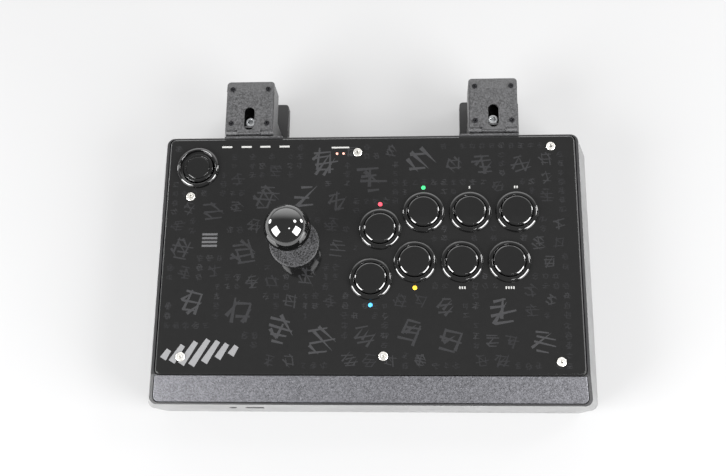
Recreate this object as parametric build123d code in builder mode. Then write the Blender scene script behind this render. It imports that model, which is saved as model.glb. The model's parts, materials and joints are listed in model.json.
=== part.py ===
"""Arcade joystick panel: a flared case with a gloss panel, stick, buttons and two table clamps.

Frame: millimetres, X to the right, Y to the rear, Z up. The origin is on the table, at the centre
of the whole object's footprint box. The feet stand on Z = 0.
"""
from build123d import *
import math
import os

os.makedirs("parts", exist_ok=True)

# ---------------------------------------------------------------- driving dimensions
# Panel
panel_width = 322.6
panel_depth = 189.6
panel_top = 60.0  # height of the cover's top face above the table
panel_corner = 4.0
cover_thickness = 2.5
cover_bevel = 0.9
steel_thickness = 1.5

# Case
side_gap = 1.0  # dark gap between the panel and the case
rear_gap = 0.5
side_rim = 2.0
rear_rim = 1.0
shell_drop = 1.5  # the case's rim lies this far below the panel's top face
shell_wall = 2.5
rear_wall = 2.0
ledge_width = 7.0
ledge_end_width = 4.5  # front and rear ledges, clear of the panel's posts
ledge_thickness = 3.0
waist_height = 24.0  # height of the widest line, where shell and tray meet
waist_flare = 10.2  # how far the waist stands out past the case's top edge on each side
base_tuck = 6.5  # how far the case's underside draws in from the waist on each side
case_corner = 6.0
tray_wall = 2.5
tray_floor = 2.5
foot_height = 4.0
foot_radius = 9.0

# Front strip
strip_depth = 20.3
front_lip = 1.3
strip_thickness = 2.0
strip_seam = 0.5
strip_side_lip = 2.4
strip_rear_drop = 1.8  # strip's rear edge below the panel's top face
strip_front_drop = 8.5

# Push buttons
plunger_radius = 12.25
plunger_clearance = 0.3
plunger_wall = 1.6
plunger_skirt = 9.0  # how far the skirt reaches below the panel's top face
plunger_rise = 4.8
barrel_wall = 2.25
button_hole_clearance = 0.3
button_rim_overlap = 1.4  # width of the rim that rests on the panel round the hole
button_rim_height = 3.0
button_rim_edge = 1.6  # width of the rounding on the rim's outer edge
rim_gap = 3.0  # between neighbouring rims in a row
row_gap = 6.8  # between the rims of the two rows
row_offset = -6.9
first_column_back = 13.4  # how far the first column stands in front of its row
first_column_shift = 2.2  # how much nearer the first column stands than a full pitch
button_travel = 3.5
barrel_depth = 22.0
barrel_floor = 2.0
button_switch_width = 12.8
button_switch_depth = 6.4
button_switch_height = 10.0
stem_radius = 2.0
stem_hole_clearance = 0.8
switch_gap = 0.2  # between a stem at the end of its travel and its switch
tab_overlap = 0.6  # how far a snap tab reaches past the panel hole
tab_height = 3.5
tab_length = 6.0

# Option button
option_rim_excess = 0.4  # radius beyond a push button's rim
option_rim_opening = 1.45  # radius beyond a push button's barrel
option_plunger_clearance = 0.55
option_step_width = 2.75
option_step_drop = 0.7
option_rise = 1.6
option_travel = 2.5

# Stick
ball_radius = 17.5
ball_height = 40.9  # centre of the ball above the panel
shaft_radius = 4.75
stud_radius = 3.0
shaft_hole_radius = 12.0
collar_step = 2.75  # collar's radius beyond the shaft's
collar_height = 7.0
pivot_depth = 14.0  # pivot below the panel's top face
tilt_limit = 9.0
washer_radius = 19.5
washer_thickness = 1.2
lower_washer_radius = 13.8
lower_washer_hole_clearance = 2.15
lower_washer_thickness = 1.0
lower_washer_room = 3.9  # between the lower washer and the plate's hole, for its slide
mount_plate_thickness = 1.6
mount_plate_width = 84.0
mount_plate_depth = 62.0
mount_screw_x = 73.0
mount_screw_y = 46.0
stick_housing_side = 58.0
stick_housing_wall = 3.0
stick_housing_depth = 22.0
board_thickness = 1.6
ring_clearance = 1.5
ring_wall = 5.0
ring_height = 6.0
trunnion_radius = 2.0
actuator_wall = 3.25
clip_wall = 2.2
clip_thickness = 1.0
gate_side = 46.0
gate_thickness = 4.0
spring_wire_radius = 0.55
spring_step = 1.55  # radius of the spring's coil beyond the shaft's
spring_turns = 4

# Clamps
clamp_centre = 98.4  # distance of each clamp's middle from the object's middle
clamp_half_width = 19.5
clamp_arm_height = 24.0
clamp_wall = 3.0
leg_wall = 2.0
clamp_plate_thickness = 1.5
arm_floor = 4.0
leg_depth = 18.7
arm_depth = 46.2
knuckle_radius = 2.7
knuckle_gap = 0.3
hinge_drop = 4.2
hinge_gap = 3.3  # from the case's rear face to the knuckles
hinge_pin_radius = 1.25
pin_inset = 0.4
middle_knuckle_half = 9.0
bracket_thickness = 1.5
bracket_height = 22.8
bracket_inner_reach = 8.0
crease_from_end = 9.2
crease_drop = 1.6
clamp_screw_radius = 3.0
clamp_screw_head_step = 1.3  # head's radius beyond the shank's
clamp_screw_collar_step = 1.1
clamp_screw_head_edge = 0.6
clamp_screw_socket_radius = 2.3
clamp_screw_head_height = 5.0
clamp_screw_head_drop = 6.0
slot_width = 8.3
slot_length = 19.8
jaw_thickness = 9.0
jaw_side_width = 5.4  # jaw beyond the leg on each side
jaw_opening = 24.5
jaw_travel = 18.0
jaw_overhang = 0.5
jaw_setback = 6.0  # from the leg's front face to the ends of the jaw's arms

# Fits and fasteners
running_clearance = 0.05
slide_clearance = 0.4
seat_gap = 0.3
hole_clearance = 0.2
window_clearance = 0.4
cut_margin = 1.0  # how far a cut starts outside what it cuts
through_cut = 20.0  # longer than anything that it cuts through
small_screw_radius = 1.5
small_head_radius = 2.75
small_head_height = 2.5
panel_screw_radius = 2.0
panel_screw_head_radius = 3.5
panel_screw_head_height = 1.0
panel_screw_socket_radius = 1.3
panel_screw_grip = 12.0  # thread in the tray's post
post_bore = 16.0

# ---------------------------------------------------------------- places worked out from them
case_rear_reach = panel_depth + rear_gap + rear_rim
front_reach = strip_depth + front_lip
hinge_reach = case_rear_reach + hinge_gap + knuckle_radius
clamp_front_reach = hinge_reach - knuckle_radius
clamp_rear_reach = clamp_front_reach + arm_depth
jaw_rear_reach = clamp_rear_reach + jaw_overhang
panel_front_y = (front_reach - jaw_rear_reach) / 2


def from_front(distance: float) -> float:
    """Y of a place that lies this far behind the panel's front edge."""
    return panel_front_y + distance


def below_top(depth: float) -> float:
    """Z of a place that lies this far below the panel's top face."""
    return panel_top - depth


case_front_y = from_front(-front_reach)
case_rear_y = from_front(case_rear_reach)
case_mid_y = (case_front_y + case_rear_y) / 2
case_depth = case_rear_y - case_front_y
panel_mid_y = from_front(panel_depth / 2)
shell_top = below_top(shell_drop)
shell_top_half = panel_width / 2 + side_gap + side_rim
waist_half_width = shell_top_half + waist_flare
base_half_width = waist_half_width - base_tuck
steel_bottom = below_top(cover_thickness + steel_thickness)
cover_bottom = below_top(cover_thickness)
roof_underside = steel_bottom - ledge_thickness
floor_top = foot_height + tray_floor

barrel_inner = plunger_radius + plunger_clearance
button_barrel_radius = barrel_inner + barrel_wall
button_hole_radius = button_barrel_radius + button_hole_clearance
button_rim_radius = button_hole_radius + button_rim_overlap
button_pitch = 2 * button_rim_radius + rim_gap
row_spacing = 2 * button_rim_radius + row_gap

# Places on the panel. What stands in its middle is placed from there, the rest from its edges.
panel_half = panel_width / 2
panel_mid = panel_depth / 2
stick_place = (-58.3, from_front(panel_mid + 7.5))
option_place = (23.7 - panel_half, from_front(panel_depth - 24.5))
upper_row_x = 42.2
upper_row_y = from_front(panel_mid + 31.7)
button_places = []
for row in range(2):
    row_y = upper_row_y - row * row_spacing
    row_x = upper_row_x + row * row_offset
    button_places.append((row_x - button_pitch + first_column_shift, row_y - first_column_back))
    for column in range(3):
        button_places.append((row_x + column * button_pitch, row_y))

panel_screw_places = [
    (19.2 - panel_half, from_front(panel_depth - 48.7)),
    (-9.9, from_front(panel_depth - 12.6)),
    (panel_half - 18.9, from_front(panel_depth - 9.1)),
    (11.5, from_front(13.7)),
    (panel_half - 17.9, from_front(9.8)),
    (19.2 - panel_half, from_front(13.0)),
]
tray_screw_x = panel_half - 4.3
tray_screw_places = [
    (side * tray_screw_x, from_front(reach))
    for side in (-1, 1)
    for reach in (5.0, panel_mid, panel_depth - 7.0)
]
foot_places = [
    (side * (panel_half - 21.3), from_front(reach))
    for side in (-1, 1)
    for reach in (10.0, panel_depth - 17.6)
]
lamp_places = [(x, from_front(panel_depth - 13.4)) for x in (-26.3, -21.1)]
lamp_radius = 0.95
rear_button_xs = [reach - panel_half for reach in (46.2, 62.0, 77.1, 92.7)]
rear_button_z = below_top(29.5)
rear_button_width = 8.0
rear_button_height = 5.0
rear_button_clearance = 0.25
rear_button_corner = 0.8
rear_button_flange = 1.0
rear_button_travel = 0.6
front_port_z = below_top(29.0)
jack_place_x = 55.8 - panel_half
jack_ring_radius = 2.9
jack_hole_radius = 1.8
jack_body_width = 11.0
jack_body_depth = 12.0
port_place_x = 72.8 - panel_half
port_width = 14.6
port_height = 7.0
port_shell_wall = 1.0
port_mouth_depth = 10.0
inlet_x = 20.0
inlet_z = below_top(29.5)
inlet_radius = 5.5
inlet_hole_radius = 3.3
inlet_flange = 1.5


def slope_height(y: float) -> float:
    """Height of the front strip's sloping top face at this Y."""
    fall = (strip_front_drop - strip_rear_drop) / strip_depth
    return below_top(strip_rear_drop) - fall * (panel_front_y - y)


def flared_block(low, low_half, high, high_half, inset_front=0.0, inset_rear=0.0, corner=case_corner):
    """Solid between two rounded rectangles at two heights, as wide as each half width gives."""
    depth = case_depth - inset_front - inset_rear
    mid_y = case_mid_y + (inset_front - inset_rear) / 2
    with BuildPart() as block:
        for height, half in ((low, low_half), (high, high_half)):
            with BuildSketch(Plane.XY.offset(height)):
                with Locations((0, mid_y)):
                    RectangleRounded(2 * half, depth, corner)
        loft(ruled=True)
    return block.part


def shell_half_width(height: float) -> float:
    """Half width of the case's outside at a height above its waist."""
    share = (height - waist_height) / (shell_top - waist_height)
    return waist_half_width + share * (shell_top_half - waist_half_width)


def front_wedge(drop: float, rear_limit: float):
    """Everything above the front slope, lowered by a drop, in front of a rear limit."""
    ahead_y = case_front_y - 10.0
    with BuildPart() as wedge:
        with BuildSketch(Plane.YZ):
            with BuildLine():
                Polyline(
                    (ahead_y, slope_height(ahead_y) - drop),
                    (rear_limit, slope_height(rear_limit) - drop),
                    (rear_limit, panel_top + 20.0),
                    (ahead_y, panel_top + 20.0),
                    close=True,
                )
            make_face()
        extrude(amount=waist_half_width + 10.0, both=True)
    return wedge.part


# ---------------------------------------------------------------- case
tray_outside = flared_block(foot_height, base_half_width, waist_height, waist_half_width)
tray_flare = (waist_half_width - base_half_width) / (waist_height - foot_height)
tray_hollow = flared_block(
    floor_top,
    base_half_width + tray_flare * tray_floor - tray_wall,
    waist_height + cut_margin,
    waist_half_width + tray_flare * cut_margin - tray_wall,
    tray_wall,
    rear_wall,
    case_corner - tray_wall,
)
post_radius = 4.0
screw_head_recess = 4.0
board_post_radius = 3.0
board_z = rear_button_z - 5.1
board_left = 40.3 - panel_half
board_right = lamp_places[-1][0] + 5.1
board_front_y = from_front(panel_depth - 39.6)
board_rear_y = from_front(panel_depth - 7.6)
board_post_places = [
    (x, y) for x in (board_left + 5.0, board_right - 5.0) for y in (board_front_y + 5.0, board_rear_y - 8.0)
]
shelf_width = 38.0
port_shelf_top = front_port_z - port_height / 2 - port_shell_wall
port_body_depth = 14.0
port_front_y = case_front_y + shell_wall

with BuildPart() as bottom_tray:
    add(tray_outside)
    add(tray_hollow, mode=Mode.SUBTRACT)
    # posts that carry the steel panel
    with BuildSketch(Plane.XY.offset(foot_height)):
        with Locations(*panel_screw_places):
            Circle(post_radius)
    extrude(amount=steel_bottom - foot_height)
    # pillars under the shell's screw bosses
    with BuildSketch(Plane.XY.offset(foot_height)):
        with Locations(*tray_screw_places):
            Circle(post_radius)
    extrude(amount=waist_height - foot_height)
    # posts under the main board
    with BuildSketch(Plane.XY.offset(foot_height)):
        with Locations(*board_post_places):
            Circle(board_post_radius)
    extrude(amount=board_z - foot_height)
    # shelf under the two front sockets
    with BuildSketch(Plane.XY.offset(foot_height)):
        with Locations(((jack_place_x + port_place_x) / 2, port_front_y + port_body_depth / 2)):
            Rectangle(shelf_width, port_body_depth)
    extrude(amount=port_shelf_top - foot_height)
    # holes
    with Locations(*[(x, y, steel_bottom) for x, y in panel_screw_places]):
        Hole(panel_screw_radius + running_clearance, depth=post_bore)
    with Locations(*[(x, y, waist_height) for x, y in tray_screw_places]):
        Hole(small_screw_radius + hole_clearance, depth=waist_height - foot_height)
    with BuildSketch(Plane.XY.offset(foot_height)):
        with Locations(*tray_screw_places):
            Circle(small_head_radius + 2 * hole_clearance)
    extrude(amount=screw_head_recess, mode=Mode.SUBTRACT)

shell_hollow_half = shell_half_width(roof_underside) - shell_wall
shell_outside = flared_block(waist_height, waist_half_width, shell_top, shell_top_half)
shell_hollow = flared_block(
    waist_height,
    waist_half_width - shell_wall,
    roof_underside,
    shell_hollow_half,
    shell_wall,
    rear_wall,
    case_corner - shell_wall,
)
recess_width = panel_width + 2 * side_gap
recess_depth = panel_depth + rear_gap + strip_seam
recess_mid_y = (from_front(-strip_seam) + from_front(panel_depth + rear_gap)) / 2
strip_rear_y = from_front(-strip_seam)
strip_recess_blank = flared_block(
    waist_height,
    waist_half_width - strip_side_lip,
    shell_top,
    shell_top_half - strip_side_lip,
    front_lip,
    0.0,
    case_corner - front_lip,
)
strip_blank = flared_block(
    waist_height,
    waist_half_width - strip_side_lip - strip_seam,
    shell_top,
    shell_top_half - strip_side_lip - strip_seam,
    front_lip + strip_seam,
    0.0,
    case_corner - front_lip,
)
hollow_cutter = shell_hollow - front_wedge(strip_thickness + shell_wall, from_front(1.0))
strip_recess = strip_recess_blank & front_wedge(strip_thickness, strip_rear_y)
boss_radius = 4.0

with BuildPart() as top_shell:
    add(shell_outside)
    add(front_wedge(0.0, from_front(0.0)), mode=Mode.SUBTRACT)
    add(hollow_cutter, mode=Mode.SUBTRACT)
    add(strip_recess, mode=Mode.SUBTRACT)
    # recess for the panel, and the large opening under it
    with BuildSketch(Plane.XY.offset(steel_bottom)):
        with Locations((0, recess_mid_y)):
            RectangleRounded(recess_width, recess_depth, panel_corner)
    extrude(amount=through_cut, mode=Mode.SUBTRACT)
    with BuildSketch(Plane.XY.offset(roof_underside - cut_margin)):
        with Locations((0, panel_mid_y)):
            RectangleRounded(panel_width - 2 * ledge_width, panel_depth - 2 * ledge_end_width, panel_corner)
    extrude(amount=through_cut, mode=Mode.SUBTRACT)
    # screw bosses hanging from the ledge
    with BuildSketch(Plane.XY.offset(waist_height)):
        with Locations(*tray_screw_places):
            Circle(boss_radius)
    extrude(amount=roof_underside - waist_height + cut_margin)
    with BuildSketch(Plane.XY.offset(waist_height)):
        with Locations(*tray_screw_places):
            Circle(small_screw_radius + running_clearance)
    extrude(amount=post_bore, mode=Mode.SUBTRACT)
    # rear wall: four button windows, the cable inlet and the clamp brackets' screw holes
    with BuildSketch(Plane.XZ.offset(-(case_rear_y + cut_margin))):
        with Locations(*[(x, rear_button_z) for x in rear_button_xs]):
            RectangleRounded(
                rear_button_width + 2 * rear_button_clearance,
                rear_button_height + 2 * rear_button_clearance,
                rear_button_corner + rear_button_clearance,
            )
        with Locations((inlet_x, inlet_z)):
            Circle(inlet_radius + running_clearance)
    extrude(amount=rear_wall + 2 * cut_margin, mode=Mode.SUBTRACT)
    # front wall: jack and port
    with BuildSketch(Plane.XZ.offset(-(case_front_y - cut_margin))):
        with Locations((jack_place_x, front_port_z)):
            Circle(jack_ring_radius + running_clearance)
        with Locations((port_place_x, front_port_z)):
            RectangleRounded(port_width, port_height, 1.0)
    extrude(amount=-(shell_wall + cut_margin), mode=Mode.SUBTRACT)

with BuildPart() as wrist_strip:
    add(strip_blank & (front_wedge(strip_thickness, strip_rear_y) - front_wedge(0.0, strip_rear_y)))

with BuildPart() as steel_panel:
    with BuildSketch(Plane.XY.offset(steel_bottom)):
        with Locations((0, panel_mid_y)):
            RectangleRounded(panel_width, panel_depth, panel_corner)
        with Locations(*button_places, option_place):
            Circle(button_hole_radius, mode=Mode.SUBTRACT)
        with Locations(stick_place):
            Circle(shaft_hole_radius, mode=Mode.SUBTRACT)
        with Locations(*panel_screw_places):
            Circle(panel_screw_radius + running_clearance, mode=Mode.SUBTRACT)
        with Locations(*lamp_places):
            Circle(lamp_radius + running_clearance, mode=Mode.SUBTRACT)
    extrude(amount=steel_thickness)

with BuildPart() as panel_cover:
    with BuildSketch(Plane.XY.offset(cover_bottom)):
        with Locations((0, panel_mid_y)):
            RectangleRounded(panel_width, panel_depth, panel_corner)
    extrude(amount=cover_thickness)
    chamfer(panel_cover.faces().sort_by(Axis.Z)[-1].outer_wire().edges(), cover_bevel)
    with BuildSketch(Plane.XY.offset(cover_bottom)):
        with Locations(*button_places, option_place):
            Circle(button_hole_radius)
        with Locations(stick_place):
            Circle(shaft_hole_radius)
        with Locations(*panel_screw_places):
            Circle(panel_screw_radius + running_clearance)
        with Locations(*lamp_places):
            Circle(lamp_radius + running_clearance)
    extrude(amount=cover_thickness, mode=Mode.SUBTRACT)

with BuildPart() as panel_screws:
    with BuildSketch(Plane.XY.offset(panel_top)):
        with Locations(*panel_screw_places):
            Circle(panel_screw_head_radius)
    extrude(amount=panel_screw_head_height)
    chamfer(panel_screws.faces().group_by(Axis.Z)[-1].edges(), 0.4 * panel_screw_head_height)
    with BuildSketch(Plane.XY.offset(panel_top)):
        with Locations(*panel_screw_places):
            Circle(panel_screw_radius)
    extrude(amount=-(cover_thickness + steel_thickness + panel_screw_grip))
    with BuildSketch(Plane.XY.offset(panel_top + panel_screw_head_height)):
        with Locations(*panel_screw_places):
            RegularPolygon(panel_screw_socket_radius, 6)
    extrude(amount=-1.4 * panel_screw_head_height, mode=Mode.SUBTRACT)

tray_screw_grip = 14.0  # thread in the shell's boss
with BuildPart() as tray_screws:
    with BuildSketch(Plane.XY.offset(foot_height + screw_head_recess)):
        with Locations(*tray_screw_places):
            Circle(small_head_radius)
    extrude(amount=-small_head_height)
    with BuildSketch(Plane.XY.offset(foot_height + screw_head_recess - 0.5)):
        with Locations(*tray_screw_places):
            Circle(small_screw_radius)
    extrude(amount=waist_height + tray_screw_grip - foot_height - screw_head_recess)

with BuildPart() as rubber_feet:
    with BuildSketch():
        with Locations(*foot_places):
            Circle(foot_radius)
    extrude(amount=foot_height)

# ---------------------------------------------------------------- push buttons
tab_reach = button_hole_radius + tab_overlap
plunger_foot = panel_top - plunger_skirt
barrel_bottom = panel_top - barrel_depth


def ring_profile(points, places):
    """Solid of revolution about a vertical axis at each place, from (radius, height) points."""
    with BuildPart() as ring:
        with BuildSketch(Plane.XZ):
            with BuildLine():
                Polyline(*points, close=True)
            make_face()
        revolve(axis=Axis.Z)
    with BuildPart() as copies:
        with Locations(*[(x, y, 0) for x, y in places]):
            add(ring.part)
    return copies.part


def button_housing_points(rim_radius, rim_inner):
    """Half section of a snap-in button housing: rim on the panel, barrel below, floor with a hole."""
    rim_top = panel_top + button_rim_height
    inner_edge = button_rim_edge / 2
    recess = [(rim_inner, panel_top), (barrel_inner, panel_top)] if rim_inner > barrel_inner else []
    return [
        (rim_radius, panel_top),
        (rim_radius, rim_top - button_rim_edge),
        (rim_radius - 0.3 * button_rim_edge, rim_top - 0.3 * button_rim_edge),
        (rim_radius - button_rim_edge, rim_top),
        (rim_inner + inner_edge, rim_top),
        (rim_inner, rim_top - inner_edge),
        *recess,
        (barrel_inner, barrel_bottom + barrel_floor),
        (stem_radius + stem_hole_clearance, barrel_bottom + barrel_floor),
        (stem_radius + stem_hole_clearance, barrel_bottom),
        (button_barrel_radius, barrel_bottom),
        (button_barrel_radius, panel_top),
    ]


def snap_tabs(place):
    """Two tabs that catch under the steel panel, left and right of a housing's barrel."""
    x, y = place
    tab_width = tab_reach - button_barrel_radius + 0.5
    with BuildPart() as tabs:
        for side in (-1, 1):
            with BuildSketch(Plane.XY.offset(steel_bottom - tab_height)):
                with Locations((x + side * (tab_reach - tab_width / 2), y)):
                    Rectangle(tab_width, tab_length)
            extrude(amount=tab_height)
    return tabs.part


housing_rings = ring_profile(button_housing_points(button_rim_radius, barrel_inner), button_places)
with BuildPart() as button_housings:
    add(housing_rings)
    for place in button_places:
        add(snap_tabs(place))

option_rim_radius = button_rim_radius + option_rim_excess
option_rim_inner = barrel_inner + option_rim_opening
option_ring_part = ring_profile(button_housing_points(option_rim_radius, option_rim_inner), [option_place])
with BuildPart() as option_button_ring:
    add(option_ring_part)
    add(snap_tabs(option_place))


cap_thickness = 2.5


def plunger_points(radius, rise, travel):
    """Half section of a plunger: slightly dished cap, skirt inside the barrel, stem to the switch."""
    cap_top = panel_top + rise
    cap_under = cap_top - cap_thickness
    stem_end = barrel_bottom + travel + switch_gap
    return [
        (0.0, cap_top - 0.5),
        (radius * 0.45, cap_top - 0.35),
        (radius - 1.8, cap_top),
        (radius - 0.9, cap_top - 0.15),
        (radius, cap_top - 1.0),
        (radius, plunger_foot),
        (radius - plunger_wall, plunger_foot),
        (radius - plunger_wall, cap_under),
        (stem_radius, cap_under),
        (stem_radius, stem_end),
        (0.0, stem_end),
    ]


plunger_nodes = {}
for number, place in enumerate(button_places, start=1):
    plunger_solid = ring_profile(plunger_points(plunger_radius, plunger_rise, button_travel), [place])
    with BuildPart() as button_plunger:
        add(plunger_solid)
    plunger_nodes[f"button_{number}_plunger"] = button_plunger

option_plunger_radius = barrel_inner - option_plunger_clearance
option_disc_radius = option_plunger_radius - option_step_width
option_top = panel_top + option_rise
option_step = option_top - option_step_drop
option_edge = 0.8
option_stem_end = barrel_bottom + option_travel + switch_gap
option_plunger_solid = ring_profile(
    [
        (0.0, option_top),
        (option_disc_radius, option_top),
        (option_disc_radius, option_step),
        (option_plunger_radius - option_edge, option_step),
        (option_plunger_radius, option_step - option_edge),
        (option_plunger_radius, plunger_foot),
        (option_plunger_radius - plunger_wall, plunger_foot),
        (option_plunger_radius - plunger_wall, option_top - cap_thickness),
        (stem_radius, option_top - cap_thickness),
        (stem_radius, option_stem_end),
        (0.0, option_stem_end),
    ],
    [option_place],
)
with BuildPart() as option_plunger:
    add(option_plunger_solid)

with BuildPart() as button_switches:
    with BuildSketch(Plane.XY.offset(barrel_bottom)):
        with Locations(*button_places, option_place):
            Rectangle(button_switch_width, button_switch_depth)
    extrude(amount=-button_switch_height)

# ---------------------------------------------------------------- stick
stick_x, stick_y = stick_place
pivot_z = below_top(pivot_depth)
ball_z = panel_top + ball_height
plate_bottom = steel_bottom - mount_plate_thickness
housing_bottom = plate_bottom - stick_housing_depth
stick_board_bottom = housing_bottom - board_thickness
gate_bottom = stick_board_bottom - gate_thickness
tilt = math.radians(tilt_limit)
collar_radius = shaft_radius + collar_step
ring_inner = collar_radius + ring_clearance
ring_outer = ring_inner + ring_wall
actuator_radius = shaft_radius + actuator_wall
actuator_top = pivot_z - 10.0
actuator_bottom = gate_bottom + 0.5
shaft_bottom = gate_bottom - 2.5
shaft_swing = (pivot_z - gate_bottom) * math.sin(tilt)
swing_clearance = 0.9
gate_half = actuator_radius + shaft_swing + swing_clearance
washer_height = panel_top + 0.2
lower_washer_bottom = plate_bottom + seat_gap
switch_width = 5.8
switch_length = 12.8
switch_height = 6.5
switch_distance = actuator_radius + (pivot_z - housing_bottom) * math.sin(tilt) + swing_clearance
trunnion_reach = stick_housing_side / 2 - stick_housing_wall / 2
lower_washer_hole = shaft_radius + lower_washer_hole_clearance
plate_hole_radius = lower_washer_radius + lower_washer_room
mount_head_radius = 3.5
mount_head_height = 2.2

with BuildPart() as stick_mount_plate:
    with BuildSketch(Plane.XY.offset(plate_bottom)):
        with Locations(stick_place):
            RectangleRounded(mount_plate_width, mount_plate_depth, 5.0)
            Circle(plate_hole_radius, mode=Mode.SUBTRACT)
            with GridLocations(mount_screw_x, mount_screw_y, 2, 2):
                Circle(panel_screw_radius + running_clearance, mode=Mode.SUBTRACT)
    extrude(amount=mount_plate_thickness)

with BuildPart() as stick_screws:
    with BuildSketch(Plane.XY.offset(plate_bottom)):
        with Locations(stick_place):
            with GridLocations(mount_screw_x, mount_screw_y, 2, 2):
                Circle(mount_head_radius)
    extrude(amount=-mount_head_height)
    with BuildSketch(Plane.XY.offset(plate_bottom)):
        with Locations(stick_place):
            with GridLocations(mount_screw_x, mount_screw_y, 2, 2):
                Circle(panel_screw_radius)
    extrude(amount=mount_plate_thickness)

housing_roof = 2.0
block_depth = 9.0
trunnion_length = ring_outer - seat_gap
boss_inner = ring_outer + 2.0
boss_length = stick_housing_side / 2 - stick_housing_wall - boss_inner
with BuildPart() as stick_housing:
    with BuildSketch(Plane.XY.offset(housing_bottom)):
        with Locations(stick_place):
            RectangleRounded(stick_housing_side, stick_housing_side, 4.0)
    extrude(amount=stick_housing_depth)
    inner_side = stick_housing_side - 2 * stick_housing_wall
    with BuildSketch(Plane.XY.offset(housing_bottom)):
        with Locations(stick_place):
            RectangleRounded(inner_side, inner_side, 2.0)
    extrude(amount=stick_housing_depth - housing_roof, mode=Mode.SUBTRACT)
    with BuildSketch(Plane.XY.offset(housing_bottom)):
        with Locations(stick_place):
            Circle(shaft_hole_radius)
    extrude(amount=stick_housing_depth + cut_margin, mode=Mode.SUBTRACT)
    # blocks with the pivot ring's bearings, hanging from the roof inside the left and right walls
    block_top = plate_bottom - housing_roof
    block_bottom = pivot_z - trunnion_radius - 2.5
    with BuildSketch(Plane.XY.offset(block_bottom)):
        for side in (-1, 1):
            with Locations((stick_x + side * (boss_inner + boss_length / 2), stick_y)):
                Rectangle(boss_length, block_depth)
    extrude(amount=block_top - block_bottom)
    with BuildSketch(Plane.YZ.offset(stick_x - stick_housing_side / 2 - cut_margin)):
        with Locations((stick_y, pivot_z)):
            Circle(trunnion_radius + running_clearance)
    extrude(amount=stick_housing_side + 2 * cut_margin, mode=Mode.SUBTRACT)

with BuildPart() as pivot_ring:
    with BuildSketch(Plane.XY.offset(pivot_z - ring_height / 2)):
        with Locations(stick_place):
            Circle(ring_outer)
    extrude(amount=ring_height)
    with BuildSketch(Plane.YZ.offset(stick_x - trunnion_reach)):
        with Locations((stick_y, pivot_z)):
            Circle(trunnion_radius)
    extrude(amount=2 * trunnion_reach)
    with BuildSketch(Plane.XY.offset(pivot_z - ring_height)):
        with Locations(stick_place):
            Circle(ring_inner)
    extrude(amount=2 * ring_height, mode=Mode.SUBTRACT)
    with BuildSketch(Plane.XZ.offset(-(stick_y + ring_outer + cut_margin))):
        with Locations((stick_x, pivot_z)):
            Circle(trunnion_radius + running_clearance)
    extrude(amount=2 * ring_outer + 2 * cut_margin, mode=Mode.SUBTRACT)

ball_flat = 0.6  # depth of the flat that seats on the shaft's shoulder
with BuildPart() as stick_shaft:
    with BuildSketch(Plane.XY.offset(shaft_bottom)):
        with Locations(stick_place):
            Circle(shaft_radius)
    extrude(amount=ball_z - ball_radius + ball_flat - shaft_bottom)
    with BuildSketch(Plane.XY.offset(ball_z - ball_radius)):
        with Locations(stick_place):
            Circle(stud_radius)
    extrude(amount=ball_radius)
    with BuildSketch(Plane.XY.offset(pivot_z - collar_height / 2)):
        with Locations(stick_place):
            Circle(collar_radius)
    extrude(amount=collar_height)
    with BuildSketch(Plane.XZ.offset(-(stick_y + trunnion_length))):
        with Locations((stick_x, pivot_z)):
            Circle(trunnion_radius)
    extrude(amount=2 * trunnion_length)

stud_end_room = 0.5
with BuildPart() as ball_top:
    with Locations((stick_x, stick_y, ball_z)):
        Sphere(ball_radius)
    with BuildSketch(Plane.XY.offset(ball_z - ball_radius - cut_margin)):
        with Locations(stick_place):
            Circle(ball_radius)
    extrude(amount=ball_flat + cut_margin, mode=Mode.SUBTRACT)
    with BuildSketch(Plane.XY.offset(ball_z - ball_radius)):
        with Locations(stick_place):
            Circle(stud_radius + running_clearance)
    extrude(amount=ball_radius + stud_end_room, mode=Mode.SUBTRACT)

washer_edge = 0.5
with BuildPart() as dust_washer:
    with BuildSketch(Plane.XY.offset(washer_height)):
        with Locations(stick_place):
            Circle(washer_radius)
            Circle(shaft_radius + slide_clearance, mode=Mode.SUBTRACT)
    extrude(amount=washer_thickness)
    fillet(dust_washer.faces().sort_by(Axis.Z)[-1].outer_wire().edges(), washer_edge)

with BuildPart() as dust_washer_lower:
    with BuildSketch(Plane.XY.offset(lower_washer_bottom)):
        with Locations(stick_place):
            Circle(lower_washer_radius)
            Circle(lower_washer_hole, mode=Mode.SUBTRACT)
    extrude(amount=lower_washer_thickness)

spring_radius = shaft_radius + spring_step
spring_end = spring_wire_radius + running_clearance
spring_low = actuator_top + spring_end
spring_high = pivot_z - collar_height / 2 - spring_end
spring_pitch = (spring_high - spring_low) / spring_turns
with BuildPart() as stick_spring:
    with BuildLine() as spring_path:
        Helix(spring_pitch, spring_high - spring_low, spring_radius, center=(stick_x, stick_y, spring_low))
    with BuildSketch(Plane(spring_path.line @ 0, z_dir=spring_path.line % 0)):
        Circle(spring_wire_radius)
    sweep(is_frenet=True)

with BuildPart() as stick_actuator:
    with BuildSketch(Plane.XY.offset(actuator_bottom)):
        with Locations(stick_place):
            Circle(actuator_radius)
            Circle(shaft_radius + running_clearance, mode=Mode.SUBTRACT)
    extrude(amount=actuator_top - actuator_bottom)

with BuildPart() as stick_clip:
    with BuildSketch(Plane.XY.offset(actuator_bottom - clip_thickness - hole_clearance)):
        with Locations(stick_place):
            Circle(shaft_radius + clip_wall)
            Circle(shaft_radius + running_clearance, mode=Mode.SUBTRACT)
    extrude(amount=clip_thickness)

stick_board_side = stick_housing_side - 4.0
with BuildPart() as stick_board:
    with BuildSketch(Plane.XY.offset(stick_board_bottom)):
        with Locations(stick_place):
            Rectangle(stick_board_side, stick_board_side)
            Rectangle(2 * gate_half, 2 * gate_half, mode=Mode.SUBTRACT)
    extrude(amount=board_thickness)

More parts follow.
